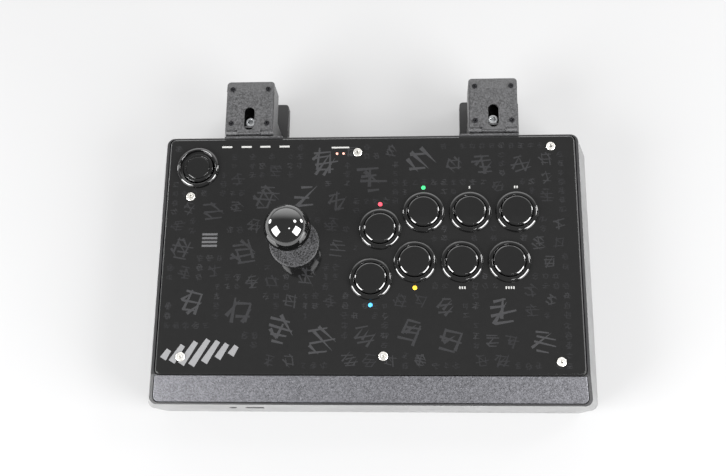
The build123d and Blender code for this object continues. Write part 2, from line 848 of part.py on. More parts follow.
with BuildPart() as restrictor_gate:
    with BuildSketch(Plane.XY.offset(gate_bottom)):
        with Locations(stick_place):
            RectangleRounded(gate_side, gate_side, 4.0)
            RectangleRounded(2 * gate_half, 2 * gate_half, 3.0, mode=Mode.SUBTRACT)
    extrude(amount=gate_thickness)

with BuildPart() as stick_switches:
    for turn in range(4):
        angle = math.radians(90 * turn)
        reach = max(switch_distance, gate_half + slide_clearance) + switch_width / 2
        long_x = switch_width if turn % 2 == 0 else switch_length
        long_y = switch_length if turn % 2 == 0 else switch_width
        with BuildSketch(Plane.XY.offset(housing_bottom)):
            with Locations((stick_x + reach * math.cos(angle), stick_y + reach * math.sin(angle))):
                Rectangle(long_x, long_y)
        extrude(amount=switch_height)

# ---------------------------------------------------------------- electronics
with BuildPart() as main_board:
    with BuildSketch(Plane.XY.offset(board_z)):
        with Locations(((board_left + board_right) / 2, (board_front_y + board_rear_y) / 2)):
            Rectangle(board_right - board_left, board_rear_y - board_front_y)
    extrude(amount=board_thickness)
    # right-angle switches behind the rear buttons
    with BuildSketch(Plane.XY.offset(board_z + board_thickness)):
        with Locations(*[(x, board_rear_y - 2.5) for x in rear_button_xs]):
            Rectangle(6.0, 5.0)
    extrude(amount=6.5)
    # processor, connectors
    with BuildSketch(Plane.XY.offset(board_z + board_thickness)):
        with Locations((board_left + 40.0, board_front_y + 12.0)):
            Rectangle(12.0, 12.0)
    extrude(amount=1.4)
    with BuildSketch(Plane.XY.offset(board_z + board_thickness)):
        with Locations((board_right - 3.0, board_front_y + 8.0)):
            Rectangle(6.0, 12.0)
    extrude(amount=6.0)

with BuildPart() as status_lamps:
    with BuildSketch(Plane.XY.offset(board_z + board_thickness)):
        with Locations(*lamp_places):
            Circle(lamp_radius)
    extrude(amount=panel_top + 0.3 - board_z - board_thickness)

wall_inner_y = case_rear_y - rear_wall
rear_button_proud = 1.0
rear_button_front_y = board_rear_y + rear_button_travel + switch_gap
rear_button_nodes = {}
for number, button_x in enumerate(rear_button_xs, start=1):
    with BuildPart() as rear_button:
        with BuildSketch(Plane.XZ.offset(-rear_button_front_y)):
            with Locations((button_x, rear_button_z)):
                RectangleRounded(rear_button_width, rear_button_height, rear_button_corner)
        extrude(amount=-(case_rear_y + rear_button_proud - rear_button_front_y))
        with BuildSketch(Plane.XZ.offset(-(wall_inner_y - hole_clearance))):
            with Locations((button_x, rear_button_z)):
                Rectangle(
                    rear_button_width + 2 * rear_button_flange,
                    rear_button_height + 2 * rear_button_flange,
                )
        extrude(amount=rear_button_flange)
    rear_button_nodes[f"rear_button_{number}"] = rear_button

with BuildPart() as cable_inlet:
    with BuildSketch(Plane.XZ.offset(-(case_rear_y + inlet_flange))):
        with Locations((inlet_x, inlet_z)):
            Circle(inlet_radius + inlet_flange)
    extrude(amount=inlet_flange)
    with BuildSketch(Plane.XZ.offset(-(case_rear_y + inlet_flange))):
        with Locations((inlet_x, inlet_z)):
            Circle(inlet_radius)
    extrude(amount=rear_wall + 3 * inlet_flange)
    with BuildSketch(Plane.XZ.offset(-(case_rear_y + inlet_flange + cut_margin))):
        with Locations((inlet_x, inlet_z)):
            Circle(inlet_hole_radius)
    extrude(amount=through_cut, mode=Mode.SUBTRACT)

jack_ring_proud = 0.2
with BuildPart() as headset_jack:
    with BuildSketch(Plane.XZ.offset(-port_front_y)):
        with Locations((jack_place_x, front_port_z)):
            Rectangle(jack_body_width, 2 * (front_port_z - port_shelf_top))
    extrude(amount=-jack_body_depth)
    with BuildSketch(Plane.XZ.offset(-(case_front_y - jack_ring_proud))):
        with Locations((jack_place_x, front_port_z)):
            Circle(jack_ring_radius)
    extrude(amount=-(shell_wall + jack_ring_proud))
    with BuildSketch(Plane.XZ.offset(-(case_front_y - cut_margin))):
        with Locations((jack_place_x, front_port_z)):
            Circle(jack_hole_radius)
    extrude(amount=-(jack_body_depth + cut_margin), mode=Mode.SUBTRACT)

with BuildPart() as usb_port:
    with BuildSketch(Plane.XZ.offset(-port_front_y)):
        with Locations((port_place_x, front_port_z)):
            Rectangle(port_width + 2 * port_shell_wall, 2 * (front_port_z - port_shelf_top))
    extrude(amount=-port_body_depth)
    with BuildSketch(Plane.XZ.offset(-(port_front_y - cut_margin))):
        with Locations((port_place_x, front_port_z)):
            Rectangle(port_width - port_shell_wall, port_height - port_shell_wall)
    extrude(amount=-(port_mouth_depth + cut_margin), mode=Mode.SUBTRACT)

# ---------------------------------------------------------------- clamps
hinge_y = from_front(hinge_reach)
hinge_z = below_top(hinge_drop)
arm_front_y = from_front(clamp_front_reach)
arm_rear_y = from_front(clamp_rear_reach)
arm_top = hinge_z + knuckle_radius
arm_bottom = below_top(clamp_arm_height)
leg_rear_y = arm_front_y + leg_depth
clamp_screw_head_radius = clamp_screw_radius + clamp_screw_head_step
clamp_collar_radius = clamp_screw_radius + clamp_screw_collar_step
clamp_screw_y = leg_rear_y - leg_wall - clamp_collar_radius - slide_clearance
jaw_top_z = arm_bottom - jaw_opening
jaw_bottom_z = jaw_top_z - jaw_thickness
leg_bottom = jaw_bottom_z + 0.5
jaw_half_width = clamp_half_width + jaw_side_width
clamp_corner = 3.0
jaw_rear_y = from_front(jaw_rear_reach)
crease_y = arm_rear_y - crease_from_end
plate_top = arm_top + clamp_plate_thickness
plate_front_y = hinge_y - 1.4
notch_depth = 2.0
cover_screw_half = 14.5
cover_screw_ys = (arm_front_y + 8.8, crease_y + 1.8)
slot_y = clamp_screw_y + 1.1
screw_top_z = plate_top - clamp_screw_head_drop
head_bottom_z = screw_top_z - clamp_screw_head_height
pocket_half = middle_knuckle_half + knuckle_gap
pocket_depth = knuckle_radius + slide_clearance
pocket_length = 12.0
cavity_front_y = clamp_screw_y - clamp_screw_head_radius - 0.6
nut_half = clamp_screw_radius + 2.5
slot_half_in_leg = nut_half + 0.5
cover_boss_radius = 3.0
cover_boss_bore = 9.0
screw_boss_radius = clamp_screw_radius + 2.2
boss_root = 1.0  # height above the arm's underside at which the bosses start
cover_head_radius = 2.1
cover_head_height = 0.6
cover_socket_radius = 0.9
side_groove = 0.6  # shadow gap between the cover and the arm's edge
notch_width = 5.1
bracket_screw_half = 11.0
rib_half = 15.0
rib_height = 8.0


def arm_height_at(y: float) -> float:
    """Height of the arm's top face, which falls towards the rear behind the crease."""
    if y <= crease_y:
        return arm_top
    return arm_top - crease_drop * (y - crease_y) / crease_from_end


def make_clamp_body(centre_x):
    """Cast arm and leg with the end knuckles, hollow inside, open at the top and at the leg's foot."""
    boss_xs = (centre_x - cover_screw_half, centre_x + cover_screw_half)
    boss_bottom = arm_bottom + boss_root
    with BuildPart() as body:
        with BuildSketch(Plane.YZ.offset(centre_x - clamp_half_width)):
            with BuildLine():
                Polyline(
                    (arm_front_y, hinge_z),
                    (arm_front_y, leg_bottom),
                    (leg_rear_y, leg_bottom),
                    (leg_rear_y, arm_bottom),
                    (arm_rear_y, arm_bottom),
                    (arm_rear_y, arm_height_at(arm_rear_y)),
                    (crease_y, arm_top),
                    (hinge_y, arm_top),
                )
                RadiusArc((hinge_y, arm_top), (arm_front_y, hinge_z), -knuckle_radius)
            make_face()
        extrude(amount=2 * clamp_half_width)
        fillet(body.edges().filter_by(Axis.Z).group_by(Axis.Y)[-1], clamp_corner)
        # arm hollow
        with BuildSketch(Plane.XY.offset(arm_bottom + arm_floor)):
            with Locations((centre_x, (cavity_front_y + arm_rear_y - clamp_wall) / 2)):
                RectangleRounded(
                    2 * (clamp_half_width - clamp_wall),
                    arm_rear_y - clamp_wall - cavity_front_y,
                    1.0,
                )
        extrude(amount=clamp_arm_height, mode=Mode.SUBTRACT)
        # leg hollow
        with BuildSketch(Plane.XY.offset(leg_bottom)):
            with Locations((centre_x, (arm_front_y + leg_rear_y) / 2)):
                Rectangle(2 * (clamp_half_width - clamp_wall), leg_depth - 2 * leg_wall)
        extrude(amount=arm_bottom - leg_bottom, mode=Mode.SUBTRACT)
        # slot in the leg's rear wall for the jaw's tongue
        with BuildSketch(Plane.XY.offset(leg_bottom)):
            with Locations((centre_x, leg_rear_y)):
                Rectangle(2 * slot_half_in_leg, 4 * clamp_wall)
        extrude(amount=jaw_top_z + jaw_travel + slide_clearance - leg_bottom, mode=Mode.SUBTRACT)
        # bosses under the cover's screws and around the clamp screw
        for screw_y in cover_screw_ys:
            with BuildSketch(Plane.XY.offset(boss_bottom)):
                with Locations(*[(x, screw_y) for x in boss_xs]):
                    Circle(cover_boss_radius)
            extrude(amount=arm_height_at(screw_y + cover_boss_radius) - boss_bottom)
        with BuildSketch(Plane.XY.offset(boss_bottom)):
            with Locations((centre_x, clamp_screw_y)):
                Circle(screw_boss_radius)
        extrude(amount=head_bottom_z - seat_gap - boss_bottom)
        # pocket for the bracket's middle knuckle
        with BuildSketch(Plane.XY.offset(hinge_z - pocket_depth)):
            with Locations((centre_x, hinge_y + pocket_depth - pocket_length / 2)):
                Rectangle(2 * pocket_half, pocket_length)
        extrude(amount=2 * pocket_depth, mode=Mode.SUBTRACT)
        # bores
        with BuildSketch(Plane.YZ.offset(centre_x - clamp_half_width - cut_margin)):
            with Locations((hinge_y, hinge_z)):
                Circle(hinge_pin_radius + running_clearance)
        extrude(amount=2 * clamp_half_width + 2 * cut_margin, mode=Mode.SUBTRACT)
        with BuildSketch(Plane.XY.offset(arm_bottom - cut_margin)):
            with Locations((centre_x, clamp_screw_y)):
                Circle(clamp_screw_radius + running_clearance)
        extrude(amount=clamp_arm_height, mode=Mode.SUBTRACT)
        for screw_y in cover_screw_ys:
            with BuildSketch(Plane.XY.offset(arm_top - cover_boss_bore)):
                with Locations(*[(x, screw_y) for x in boss_xs]):
                    Circle(small_screw_radius + running_clearance)
            extrude(amount=through_cut, mode=Mode.SUBTRACT)
    return body


def make_clamp_cover(centre_x):
    """Bent plate that closes the arm, with an obround slot over the clamp screw."""
    with BuildPart() as cover:
        with BuildSketch(Plane.YZ.offset(centre_x - clamp_half_width)):
            with BuildLine():
                Polyline(
                    (plate_front_y, arm_top),
                    (plate_front_y, plate_top),
                    (crease_y, plate_top),
                    (arm_rear_y, plate_top - crease_drop),
                    (arm_rear_y, plate_top - crease_drop - clamp_plate_thickness),
                    (crease_y, arm_top),
                    close=True,
                )
            make_face()
        extrude(amount=2 * clamp_half_width)
        fillet(cover.edges().filter_by(Axis.Z).group_by(Axis.Y)[-1], clamp_corner)
        with BuildSketch(Plane.XY.offset(arm_top - 5.0)):
            for side in (-1, 1):
                # narrow shadow gap along each side, and a notch over each end knuckle
                with Locations((centre_x + side * clamp_half_width, (plate_front_y + crease_y) / 2)):
                    Rectangle(2 * side_groove, crease_y - plate_front_y)
                with Locations((centre_x + side * (clamp_half_width - notch_width), plate_front_y)):
                    Rectangle(2 * notch_width, 2 * notch_depth)
            with Locations((centre_x, slot_y)):
                SlotOverall(slot_length, slot_width, rotation=90)
            with Locations(
                *[(centre_x + side * cover_screw_half, y) for side in (-1, 1) for y in cover_screw_ys]
            ):
                Circle(small_screw_radius + hole_clearance)
        extrude(amount=through_cut, mode=Mode.SUBTRACT)
    return cover


def make_cover_screws(centre_x):
    """Four dark pan-head screws through the cover."""
    with BuildPart() as screws:
        for screw_y in cover_screw_ys:
            head_base = arm_height_at(screw_y - cover_head_radius) + clamp_plate_thickness
            places = [(centre_x - cover_screw_half, screw_y), (centre_x + cover_screw_half, screw_y)]
            with BuildSketch(Plane.XY.offset(head_base)):
                with Locations(*places):
                    Circle(cover_head_radius)
            extrude(amount=cover_head_height)
            with BuildSketch(Plane.XY.offset(head_base)):
                with Locations(*places):
                    Circle(small_screw_radius)
            extrude(amount=-8.0)
            with BuildSketch(Plane.XY.offset(head_base + cover_head_height)):
                with Locations(*places):
                    RegularPolygon(cover_socket_radius, 6)
            extrude(amount=-1.0, mode=Mode.SUBTRACT)
    return screws


def make_clamp_screw(centre_x):
    """Socket-head screw that turns in the arm, with a collar below its bearing and a stop at its foot."""
    with BuildPart() as screw:
        with BuildSketch(Plane.XY.offset(head_bottom_z)):
            with Locations((centre_x, clamp_screw_y)):
                Circle(clamp_screw_head_radius)
        extrude(amount=clamp_screw_head_height)
        chamfer(screw.faces().sort_by(Axis.Z)[-1].edges(), clamp_screw_head_edge)
        with BuildSketch(Plane.XY.offset(screw_top_z)):
            with Locations((centre_x, clamp_screw_y)):
                RegularPolygon(clamp_screw_socket_radius, 6)
        extrude(amount=-0.6 * clamp_screw_head_height, mode=Mode.SUBTRACT)
        with BuildSketch(Plane.XY.offset(jaw_bottom_z - seat_gap)):
            with Locations((centre_x, clamp_screw_y)):
                Circle(clamp_screw_radius)
        extrude(amount=head_bottom_z - jaw_bottom_z + seat_gap)
        for collar_top, height in ((arm_bottom - seat_gap, 1.5), (jaw_bottom_z - seat_gap, 1.0)):
            with BuildSketch(Plane.XY.offset(collar_top)):
                with Locations((centre_x, clamp_screw_y)):
                    Circle(clamp_collar_radius)
            extrude(amount=-height)
    return screw


def make_jaw(centre_x):
    """Lower jaw: a block that straddles the leg, with a tongue to the nut on the clamp screw."""
    jaw_front_y = arm_front_y + jaw_setback
    window_rear_y = leg_rear_y + window_clearance
    nut_front_y = clamp_screw_y - nut_half - 1.0
    with BuildPart() as jaw:
        with BuildSketch(Plane.XY.offset(jaw_bottom_z)):
            with Locations((centre_x, (jaw_front_y + jaw_rear_y) / 2)):
                Rectangle(2 * jaw_half_width, jaw_rear_y - jaw_front_y)
            with Locations((centre_x, (jaw_front_y - cut_margin + window_rear_y) / 2)):
                Rectangle(
                    2 * (clamp_half_width + window_clearance),
                    window_rear_y - jaw_front_y + cut_margin,
                    mode=Mode.SUBTRACT,
                )
            with Locations((centre_x, (nut_front_y + window_rear_y) / 2)):
                Rectangle(2 * nut_half, window_rear_y - nut_front_y)
            with Locations((centre_x, clamp_screw_y)):
                Circle(clamp_screw_radius + running_clearance, mode=Mode.SUBTRACT)
        extrude(amount=jaw_thickness)
        fillet(jaw.edges().filter_by(Axis.Z).group_by(Axis.Y)[-1], clamp_corner)
    return jaw


def make_bracket(centre_x, inward):
    """Steel bracket on the case's rear wall with the middle knuckle and a stop rib."""
    plate_half = clamp_half_width + bracket_inner_reach / 2
    plate_x = centre_x + inward * bracket_inner_reach / 2
    plate_high = below_top(1.2)
    plate_low = plate_high - bracket_height
    bracket_rear_y = case_rear_y + bracket_thickness
    with BuildPart() as bracket:
        with BuildSketch(Plane.XY.offset(plate_low)):
            with Locations((plate_x, case_rear_y + bracket_thickness / 2)):
                Rectangle(2 * plate_half, bracket_thickness)
        extrude(amount=bracket_height)
        # tongue and middle knuckle
        with BuildSketch(Plane.YZ.offset(centre_x - middle_knuckle_half)):
            with Locations((hinge_y, hinge_z)):
                Circle(knuckle_radius - knuckle_gap)
            tongue_high = hinge_z - 0.5
            tongue_low = hinge_z - knuckle_radius + knuckle_gap
            with Locations(((bracket_rear_y + hinge_y) / 2, (tongue_high + tongue_low) / 2)):
                Rectangle(hinge_y - bracket_rear_y, tongue_high - tongue_low)
        extrude(amount=2 * middle_knuckle_half)
        # stop rib that the leg rests against
        rib_depth = arm_front_y - bracket_rear_y - seat_gap
        with BuildSketch(Plane.XY.offset(below_top(22.0))):
            with Locations((centre_x, bracket_rear_y + rib_depth / 2)):
                Rectangle(2 * rib_half, rib_depth)
        extrude(amount=rib_height)
        with BuildSketch(Plane.YZ.offset(centre_x - clamp_half_width)):
            with Locations((hinge_y, hinge_z)):
                Circle(hinge_pin_radius + running_clearance)
        extrude(amount=2 * clamp_half_width, mode=Mode.SUBTRACT)
        with BuildSketch(Plane.XZ.offset(-(case_rear_y - cut_margin))):
            with Locations(*[(centre_x + side * bracket_screw_half, bracket_screw_z) for side in (-1, 1)]):
                Circle(small_screw_radius + running_clearance)
        extrude(amount=-through_cut, mode=Mode.SUBTRACT)
    return bracket


def make_hinge_pin(centre_x):
    """Steel pin through the three knuckles."""
    with BuildPart() as pin:
        with BuildSketch(Plane.YZ.offset(centre_x - clamp_half_width + pin_inset)):
            with Locations((hinge_y, hinge_z)):
                Circle(hinge_pin_radius)
        extrude(amount=2 * (clamp_half_width - pin_inset))
    return pin


bracket_screw_z = below_top(18.0)
clamp_nodes = {}
bracket_screw_places = []
for side_name, side in (("left", -1), ("right", 1)):
    centre_x = side * clamp_centre
    clamp_nodes[f"{side_name}_clamp_bracket"] = make_bracket(centre_x, -side)
    clamp_nodes[f"{side_name}_hinge_pin"] = make_hinge_pin(centre_x)
    clamp_nodes[f"{side_name}_clamp_body"] = make_clamp_body(centre_x)
    clamp_nodes[f"{side_name}_clamp_cover"] = make_clamp_cover(centre_x)
    clamp_nodes[f"{side_name}_cover_screws"] = make_cover_screws(centre_x)
    clamp_nodes[f"{side_name}_clamp_screw"] = make_clamp_screw(centre_x)
    clamp_nodes[f"{side_name}_lower_jaw"] = make_jaw(centre_x)
    bracket_screw_places += [(centre_x + end * bracket_screw_half, bracket_screw_z) for end in (-1, 1)]

bracket_screw_length = rear_wall + bracket_thickness + 1.2
bracket_head_height = 2.0
with BuildPart() as clamp_bracket_screws:
    with BuildSketch(Plane.XZ.offset(-wall_inner_y)):
        with Locations(*bracket_screw_places):
            Circle(small_head_radius)
    extrude(amount=bracket_head_height)
    with BuildSketch(Plane.XZ.offset(-wall_inner_y)):
        with Locations(*bracket_screw_places):
            Circle(small_screw_radius)
    extrude(amount=-bracket_screw_length)

with BuildPart() as shell_with_holes:
    add(top_shell.part)
    with BuildSketch(Plane.XZ.offset(-(wall_inner_y - cut_margin))):
        with Locations(*bracket_screw_places):
            Circle(small_screw_radius + running_clearance)
    extrude(amount=-(rear_wall + 2 * cut_margin), mode=Mode.SUBTRACT)

# ---------------------------------------------------------------- labels and files
nodes = {
    "bottom_tray": bottom_tray,
    "top_shell": shell_with_holes,
    "wrist_strip": wrist_strip,
    "steel_panel": steel_panel,
    "panel_cover": panel_cover,
    "panel_screws": panel_screws,
    "tray_screws": tray_screws,
    "rubber_feet": rubber_feet,
    "button_housings": button_housings,
    "button_switches": button_switches,
    **plunger_nodes,
    "option_button_ring": option_button_ring,
    "option_plunger": option_plunger,
    "stick_mount_plate": stick_mount_plate,
    "stick_screws": stick_screws,
    "stick_housing": stick_housing,
    "pivot_ring": pivot_ring,
    "stick_shaft": stick_shaft,
    "ball_top": ball_top,
    "dust_washer": dust_washer,
    "dust_washer_lower": dust_washer_lower,
    "stick_spring": stick_spring,
    "stick_actuator": stick_actuator,
    "stick_clip": stick_clip,
    "stick_board": stick_board,
    "restrictor_gate": restrictor_gate,
    "stick_switches": stick_switches,
    "main_board": main_board,
    "status_lamps": status_lamps,
    **rear_button_nodes,
    "cable_inlet": cable_inlet,
    "headset_jack": headset_jack,
    "usb_port": usb_port,
    "clamp_bracket_screws": clamp_bracket_screws,
    **clamp_nodes,
}
for node_name, piece in nodes.items():
    piece.part.label = node_name
    export_step(piece.part, f"parts/{node_name}.step")
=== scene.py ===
"""Looks of an arcade joystick panel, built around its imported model.

The CAD nodes give every place and size. The pieces that show are rebuilt here with rounded edges and
finer curves, and every node gets the finish of its real material. Lengths are metres.
"""
from __future__ import annotations

import json
import logging
import math
import random
from dataclasses import dataclass, field
from enum import Enum
from typing import Any, Callable, Iterable, Sequence

import bmesh
import bpy
from mathutils import Matrix, Vector


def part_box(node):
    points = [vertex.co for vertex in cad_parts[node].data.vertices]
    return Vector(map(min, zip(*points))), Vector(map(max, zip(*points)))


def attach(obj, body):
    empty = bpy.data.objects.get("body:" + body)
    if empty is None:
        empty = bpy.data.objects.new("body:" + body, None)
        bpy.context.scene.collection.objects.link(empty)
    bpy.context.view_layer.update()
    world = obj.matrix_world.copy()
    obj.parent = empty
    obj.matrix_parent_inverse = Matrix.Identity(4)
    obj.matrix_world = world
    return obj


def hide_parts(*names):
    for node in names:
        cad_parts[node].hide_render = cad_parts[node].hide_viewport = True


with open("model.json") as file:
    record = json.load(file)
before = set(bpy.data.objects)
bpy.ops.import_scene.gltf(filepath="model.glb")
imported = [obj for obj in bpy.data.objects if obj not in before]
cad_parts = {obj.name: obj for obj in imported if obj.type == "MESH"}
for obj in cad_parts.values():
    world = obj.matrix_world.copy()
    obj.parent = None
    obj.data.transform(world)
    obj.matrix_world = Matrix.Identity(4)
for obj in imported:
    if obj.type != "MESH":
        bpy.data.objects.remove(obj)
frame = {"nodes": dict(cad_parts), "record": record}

LOG = logging.getLogger("joystick_panel")
MM = 0.001
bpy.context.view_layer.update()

MIX_COLOUR_A = 6  # a Mix node's colour sockets share their names with its other types, so they go by number
MIX_COLOUR_B = 7
MIX_COLOUR_OUT = 2

Corner = tuple[float, float, float]  # radius or place, height and fillet radius
Way = tuple[float, float, float]
Tree = bpy.types.NodeTree
Node = bpy.types.Node
Socket = bpy.types.NodeSocket
Shape = bmesh.types.BMesh


# ------------------------------------------------------------------ colour and nodes
def linear(hex_colour: str) -> tuple[float, float, float, float]:
    """Turns an sRGB hex colour into the linear colour that the shaders read.

    Args:
        hex_colour: Six hex digits with a leading hash.

    Returns:
        Linear red, green, blue and an alpha of one.
    """
    channels = [int(hex_colour[i : i + 2], 16) / 255 for i in (1, 3, 5)]
    curve = [c / 12.92 if c <= 0.04045 else ((c + 0.055) / 1.055) ** 2.4 for c in channels]
    return (curve[0], curve[1], curve[2], 1.0)


def add_node(tree: Tree, kind: str, inputs: dict[Any, Any] | None = None, **settings: Any) -> Node:
    """Adds a node to a tree, with its settings and its inputs.

    Args:
        tree: The node tree.
        kind: The node's type name.
        inputs: Socket name or number to a value, or to another node's output to link.
        **settings: Properties of the node itself.

    Returns:
        The new node.
    """
    node = tree.nodes.new(kind)
    for name, value in settings.items():
        setattr(node, name, value)
    for socket, value in (inputs or {}).items():
        if isinstance(value, Socket):
            tree.links.new(value, node.inputs[socket])
        else:
            node.inputs[socket].default_value = value
    return node


# ------------------------------------------------------------------ finishes
@dataclass(frozen=True)
class Finish:
    """What every finish has: a name for the real material and a base colour."""

    name: str
    colour: str
    roughness: float = 0.5

    def material(self) -> bpy.types.Material:
        """Gives the finish's material, made the first time it is asked for.

        Returns:
            The material.
        """
        known = bpy.data.materials.get(self.name)
        if known:
            return known
        made = bpy.data.materials.new(self.name)
        made.use_nodes = True
        tree = made.node_tree
        tree.nodes.clear()
        shader = add_node(tree, "ShaderNodeBsdfPrincipled")
        add_node(tree, "ShaderNodeOutputMaterial", {"Surface": shader.outputs[0]})
        place = add_node(tree, "ShaderNodeTexCoord").outputs["Object"]
        shader.inputs["Base Color"].default_value = linear(self.colour)
        shader.inputs["Roughness"].default_value = self.roughness
        made.diffuse_color = linear(self.colour)
        self.dress(tree, shader, place)
        return made

    def dress(self, tree: Tree, shader: Node, place: Socket) -> None:
        """Adds the pattern, relief and gloss of the finish. Each finish has its own.

        Args:
            tree: The material's nodes.
            shader: The surface shader.
            place: Object coordinates in metres.
        """
        raise NotImplementedError

    def tint(
        self,
        tree: Tree,
        shader: Node,
        amount: Socket,
        dark: float,
        light: float,
    ) -> None:
        """Varies the base colour between two shares of itself.

        Args:
            tree: The node tree.
            shader: The surface shader.
            amount: Pattern from 0 to 1.
            dark: Share of the colour where the pattern is 0.
            light: Share of the colour where the pattern is 1.
        """
        base = linear(self.colour)
        low = [min(1.0, c * dark) for c in base[:3]] + [1.0]
        high = [min(1.0, c * light) for c in base[:3]] + [1.0]
        mix = add_node(tree, "ShaderNodeMix", data_type="RGBA")
        tree.links.new(amount, mix.inputs["Factor"])
        for socket, value in ((MIX_COLOUR_A, low), (MIX_COLOUR_B, high)):
            mix.inputs[socket].default_value = value
        tree.links.new(mix.outputs[MIX_COLOUR_OUT], shader.inputs["Base Color"])

    def vary_roughness(
        self,
        tree: Tree,
        shader: Node,
        amount: Socket,
        spread: float,
    ) -> None:
        """Varies the roughness by a spread on each side of its value.

        Args:
            tree: The material's nodes.
            shader: The surface shader.
            amount: Pattern from 0 to 1.
            spread: How far the roughness goes each way.
        """
        span = add_node(
            tree,
            "ShaderNodeMapRange",
            {
                "Value": amount,
                "To Min": max(0.0, self.roughness - spread),
                "To Max": min(1.0, self.roughness + spread),
            },
        )
        tree.links.new(span.outputs[0], shader.inputs["Roughness"])

    def relief(
        self,
        tree: Tree,
        shader: Node,
        height: Socket,
        depth_mm: float,
        strength: float,
    ) -> None:
        """Bumps the surface by a height pattern.

        Args:
            tree: The material's nodes.
            shader: The surface shader.
            height: Pattern from 0 to 1.
            depth_mm: Depth of the relief in millimetres.
            strength: How strongly it shows.
        """
        bump = add_node(
            tree, "ShaderNodeBump", {"Height": height, "Distance": depth_mm * MM, "Strength": strength}
        )
        tree.links.new(bump.outputs[0], shader.inputs["Normal"])


@dataclass(frozen=True)
class MouldedPlastic(Finish):
    """ABS or nylon moulded in a spark-eroded tool: a fine even grain that breaks up the reflections."""

    grain_mm: float = 0.5
    depth_mm: float = 0.03
    relief_strength: float = 0.5
    ior: float = 1.52
    variation: float = 0.12

    def dress(self, tree: Tree, shader: Node, place: Socket) -> None:
        """Adds the tool's grain as relief, and slow unevenness of colour and gloss.

        Args:
            tree: The material's nodes.
            shader: The surface shader.
            place: Object coordinates in metres.
        """
        grain = add_node(
            tree, "ShaderNodeTexNoise", {"Vector": place, "Scale": 1 / (self.grain_mm * MM), "Detail": 3.0}
        )
        cloud = add_node(tree, "ShaderNodeTexNoise", {"Vector": place, "Scale": 28.0, "Detail": 4.0})
        self.tint(tree, shader, cloud.outputs[0], 1 - self.variation, 1 + self.variation)
        self.vary_roughness(tree, shader, cloud.outputs[0], 0.06)
        self.relief(tree, shader, grain.outputs[0], self.depth_mm, self.relief_strength)
        shader.inputs["IOR"].default_value = self.ior


@dataclass(frozen=True)
class CoarseNylon(Finish):
    """Filled nylon from a coarsely blasted tool: each pit is painted dark as shade and each tip is painted
    lighter.
    """

    pit_mm: float = 1.0
    depth_mm: float = 0.3

    def dress(self, tree: Tree, shader: Node, place: Socket) -> None:
        """Adds the pit pattern as relief, and paints it into the colour: painted shade in each pit, lighter
        tips.

        Args:
            tree: The material's nodes.
            shader: The surface shader.
            place: Object coordinates in metres.
        """
        pit_relief_and_shade = add_node(
            tree, "ShaderNodeTexNoise", {"Vector": place, "Scale": 1 / (self.pit_mm * MM), "Detail": 2.0}
        )
        spread = add_node(
            tree, "ShaderNodeMapRange", {"Value": pit_relief_and_shade.outputs[0], "From Min": 0.38, "From Max": 0.62}
        )
        # painted shade: the colour follows the relief, near black in each pit and much lighter on each tip
        self.tint(tree, shader, spread.outputs[0], 0.02, 2.9)
        self.vary_roughness(tree, shader, spread.outputs[0], 0.15)
        self.relief(tree, shader, pit_relief_and_shade.outputs[0], self.depth_mm, 0.8)
        shader.inputs["Specular IOR Level"].default_value = 0.25


@dataclass(frozen=True)
class GlossPlastic(Finish):
    """Polished moulding: deep mirror-like gloss, with faint handling haze and a very slight ripple."""

    ior: float = 1.53
    haze: float = 0.04
    ripple_mm: float = 6.0

    def dress(self, tree: Tree, shader: Node, place: Socket) -> None:
        """Adds haze in the gloss, hairline scuffs and the moulding's slow ripple.

        Args:
            tree: The material's nodes.
            shader: The surface shader.
            place: Object coordinates in metres.
        """
        smear = add_node(
            tree, "ShaderNodeTexNoise", {"Vector": place, "Scale": 180.0, "Detail": 6.0, "Distortion": 0.6}
        )
        self.vary_roughness(tree, shader, smear.outputs[0], self.haze)
        self.tint(tree, shader, smear.outputs[0], 0.85, 1.15)
        ripple = add_node(
            tree, "ShaderNodeTexNoise", {"Vector": place, "Scale": 1 / (self.ripple_mm * MM), "Detail": 0.0}
        )
        self.relief(tree, shader, ripple.outputs[0], 0.02, 0.05)
        shader.inputs["IOR"].default_value = self.ior


@dataclass(frozen=True)
class PowderCoat(Finish):
    """Powder coat on a die casting: a dense pebble relief with a soft satin sheen."""

    pebble_mm: float = 0.55
    depth_mm: float = 0.05
    speck: float = 0.25
    speck_mm: float = 1.1

    def dress(self, tree: Tree, shader: Node, place: Socket) -> None:
        """Adds pebbles as relief, and specks that make the grey uneven at arm's length.

        Args:
            tree: The material's nodes.
            shader: The surface shader.
            place: Object coordinates in metres.
        """
        pebbles = add_node(
            tree,
            "ShaderNodeTexVoronoi",
            {"Vector": place, "Scale": 1 / (self.pebble_mm * MM)},
            feature="SMOOTH_F1",
        )
        specks = add_node(
            tree, "ShaderNodeTexNoise", {"Vector": place, "Scale": 1 / (self.speck_mm * MM), "Detail": 4.0}
        )
        spread = add_node(
            tree, "ShaderNodeMapRange", {"Value": specks.outputs[0], "From Min": 0.36, "From Max": 0.64}
        )
        self.tint(tree, shader, spread.outputs[0], 1 - self.speck, 1 + self.speck)
        self.vary_roughness(tree, shader, spread.outputs[0], 0.08)
        self.relief(tree, shader, pebbles.outputs[0], self.depth_mm, 0.5)


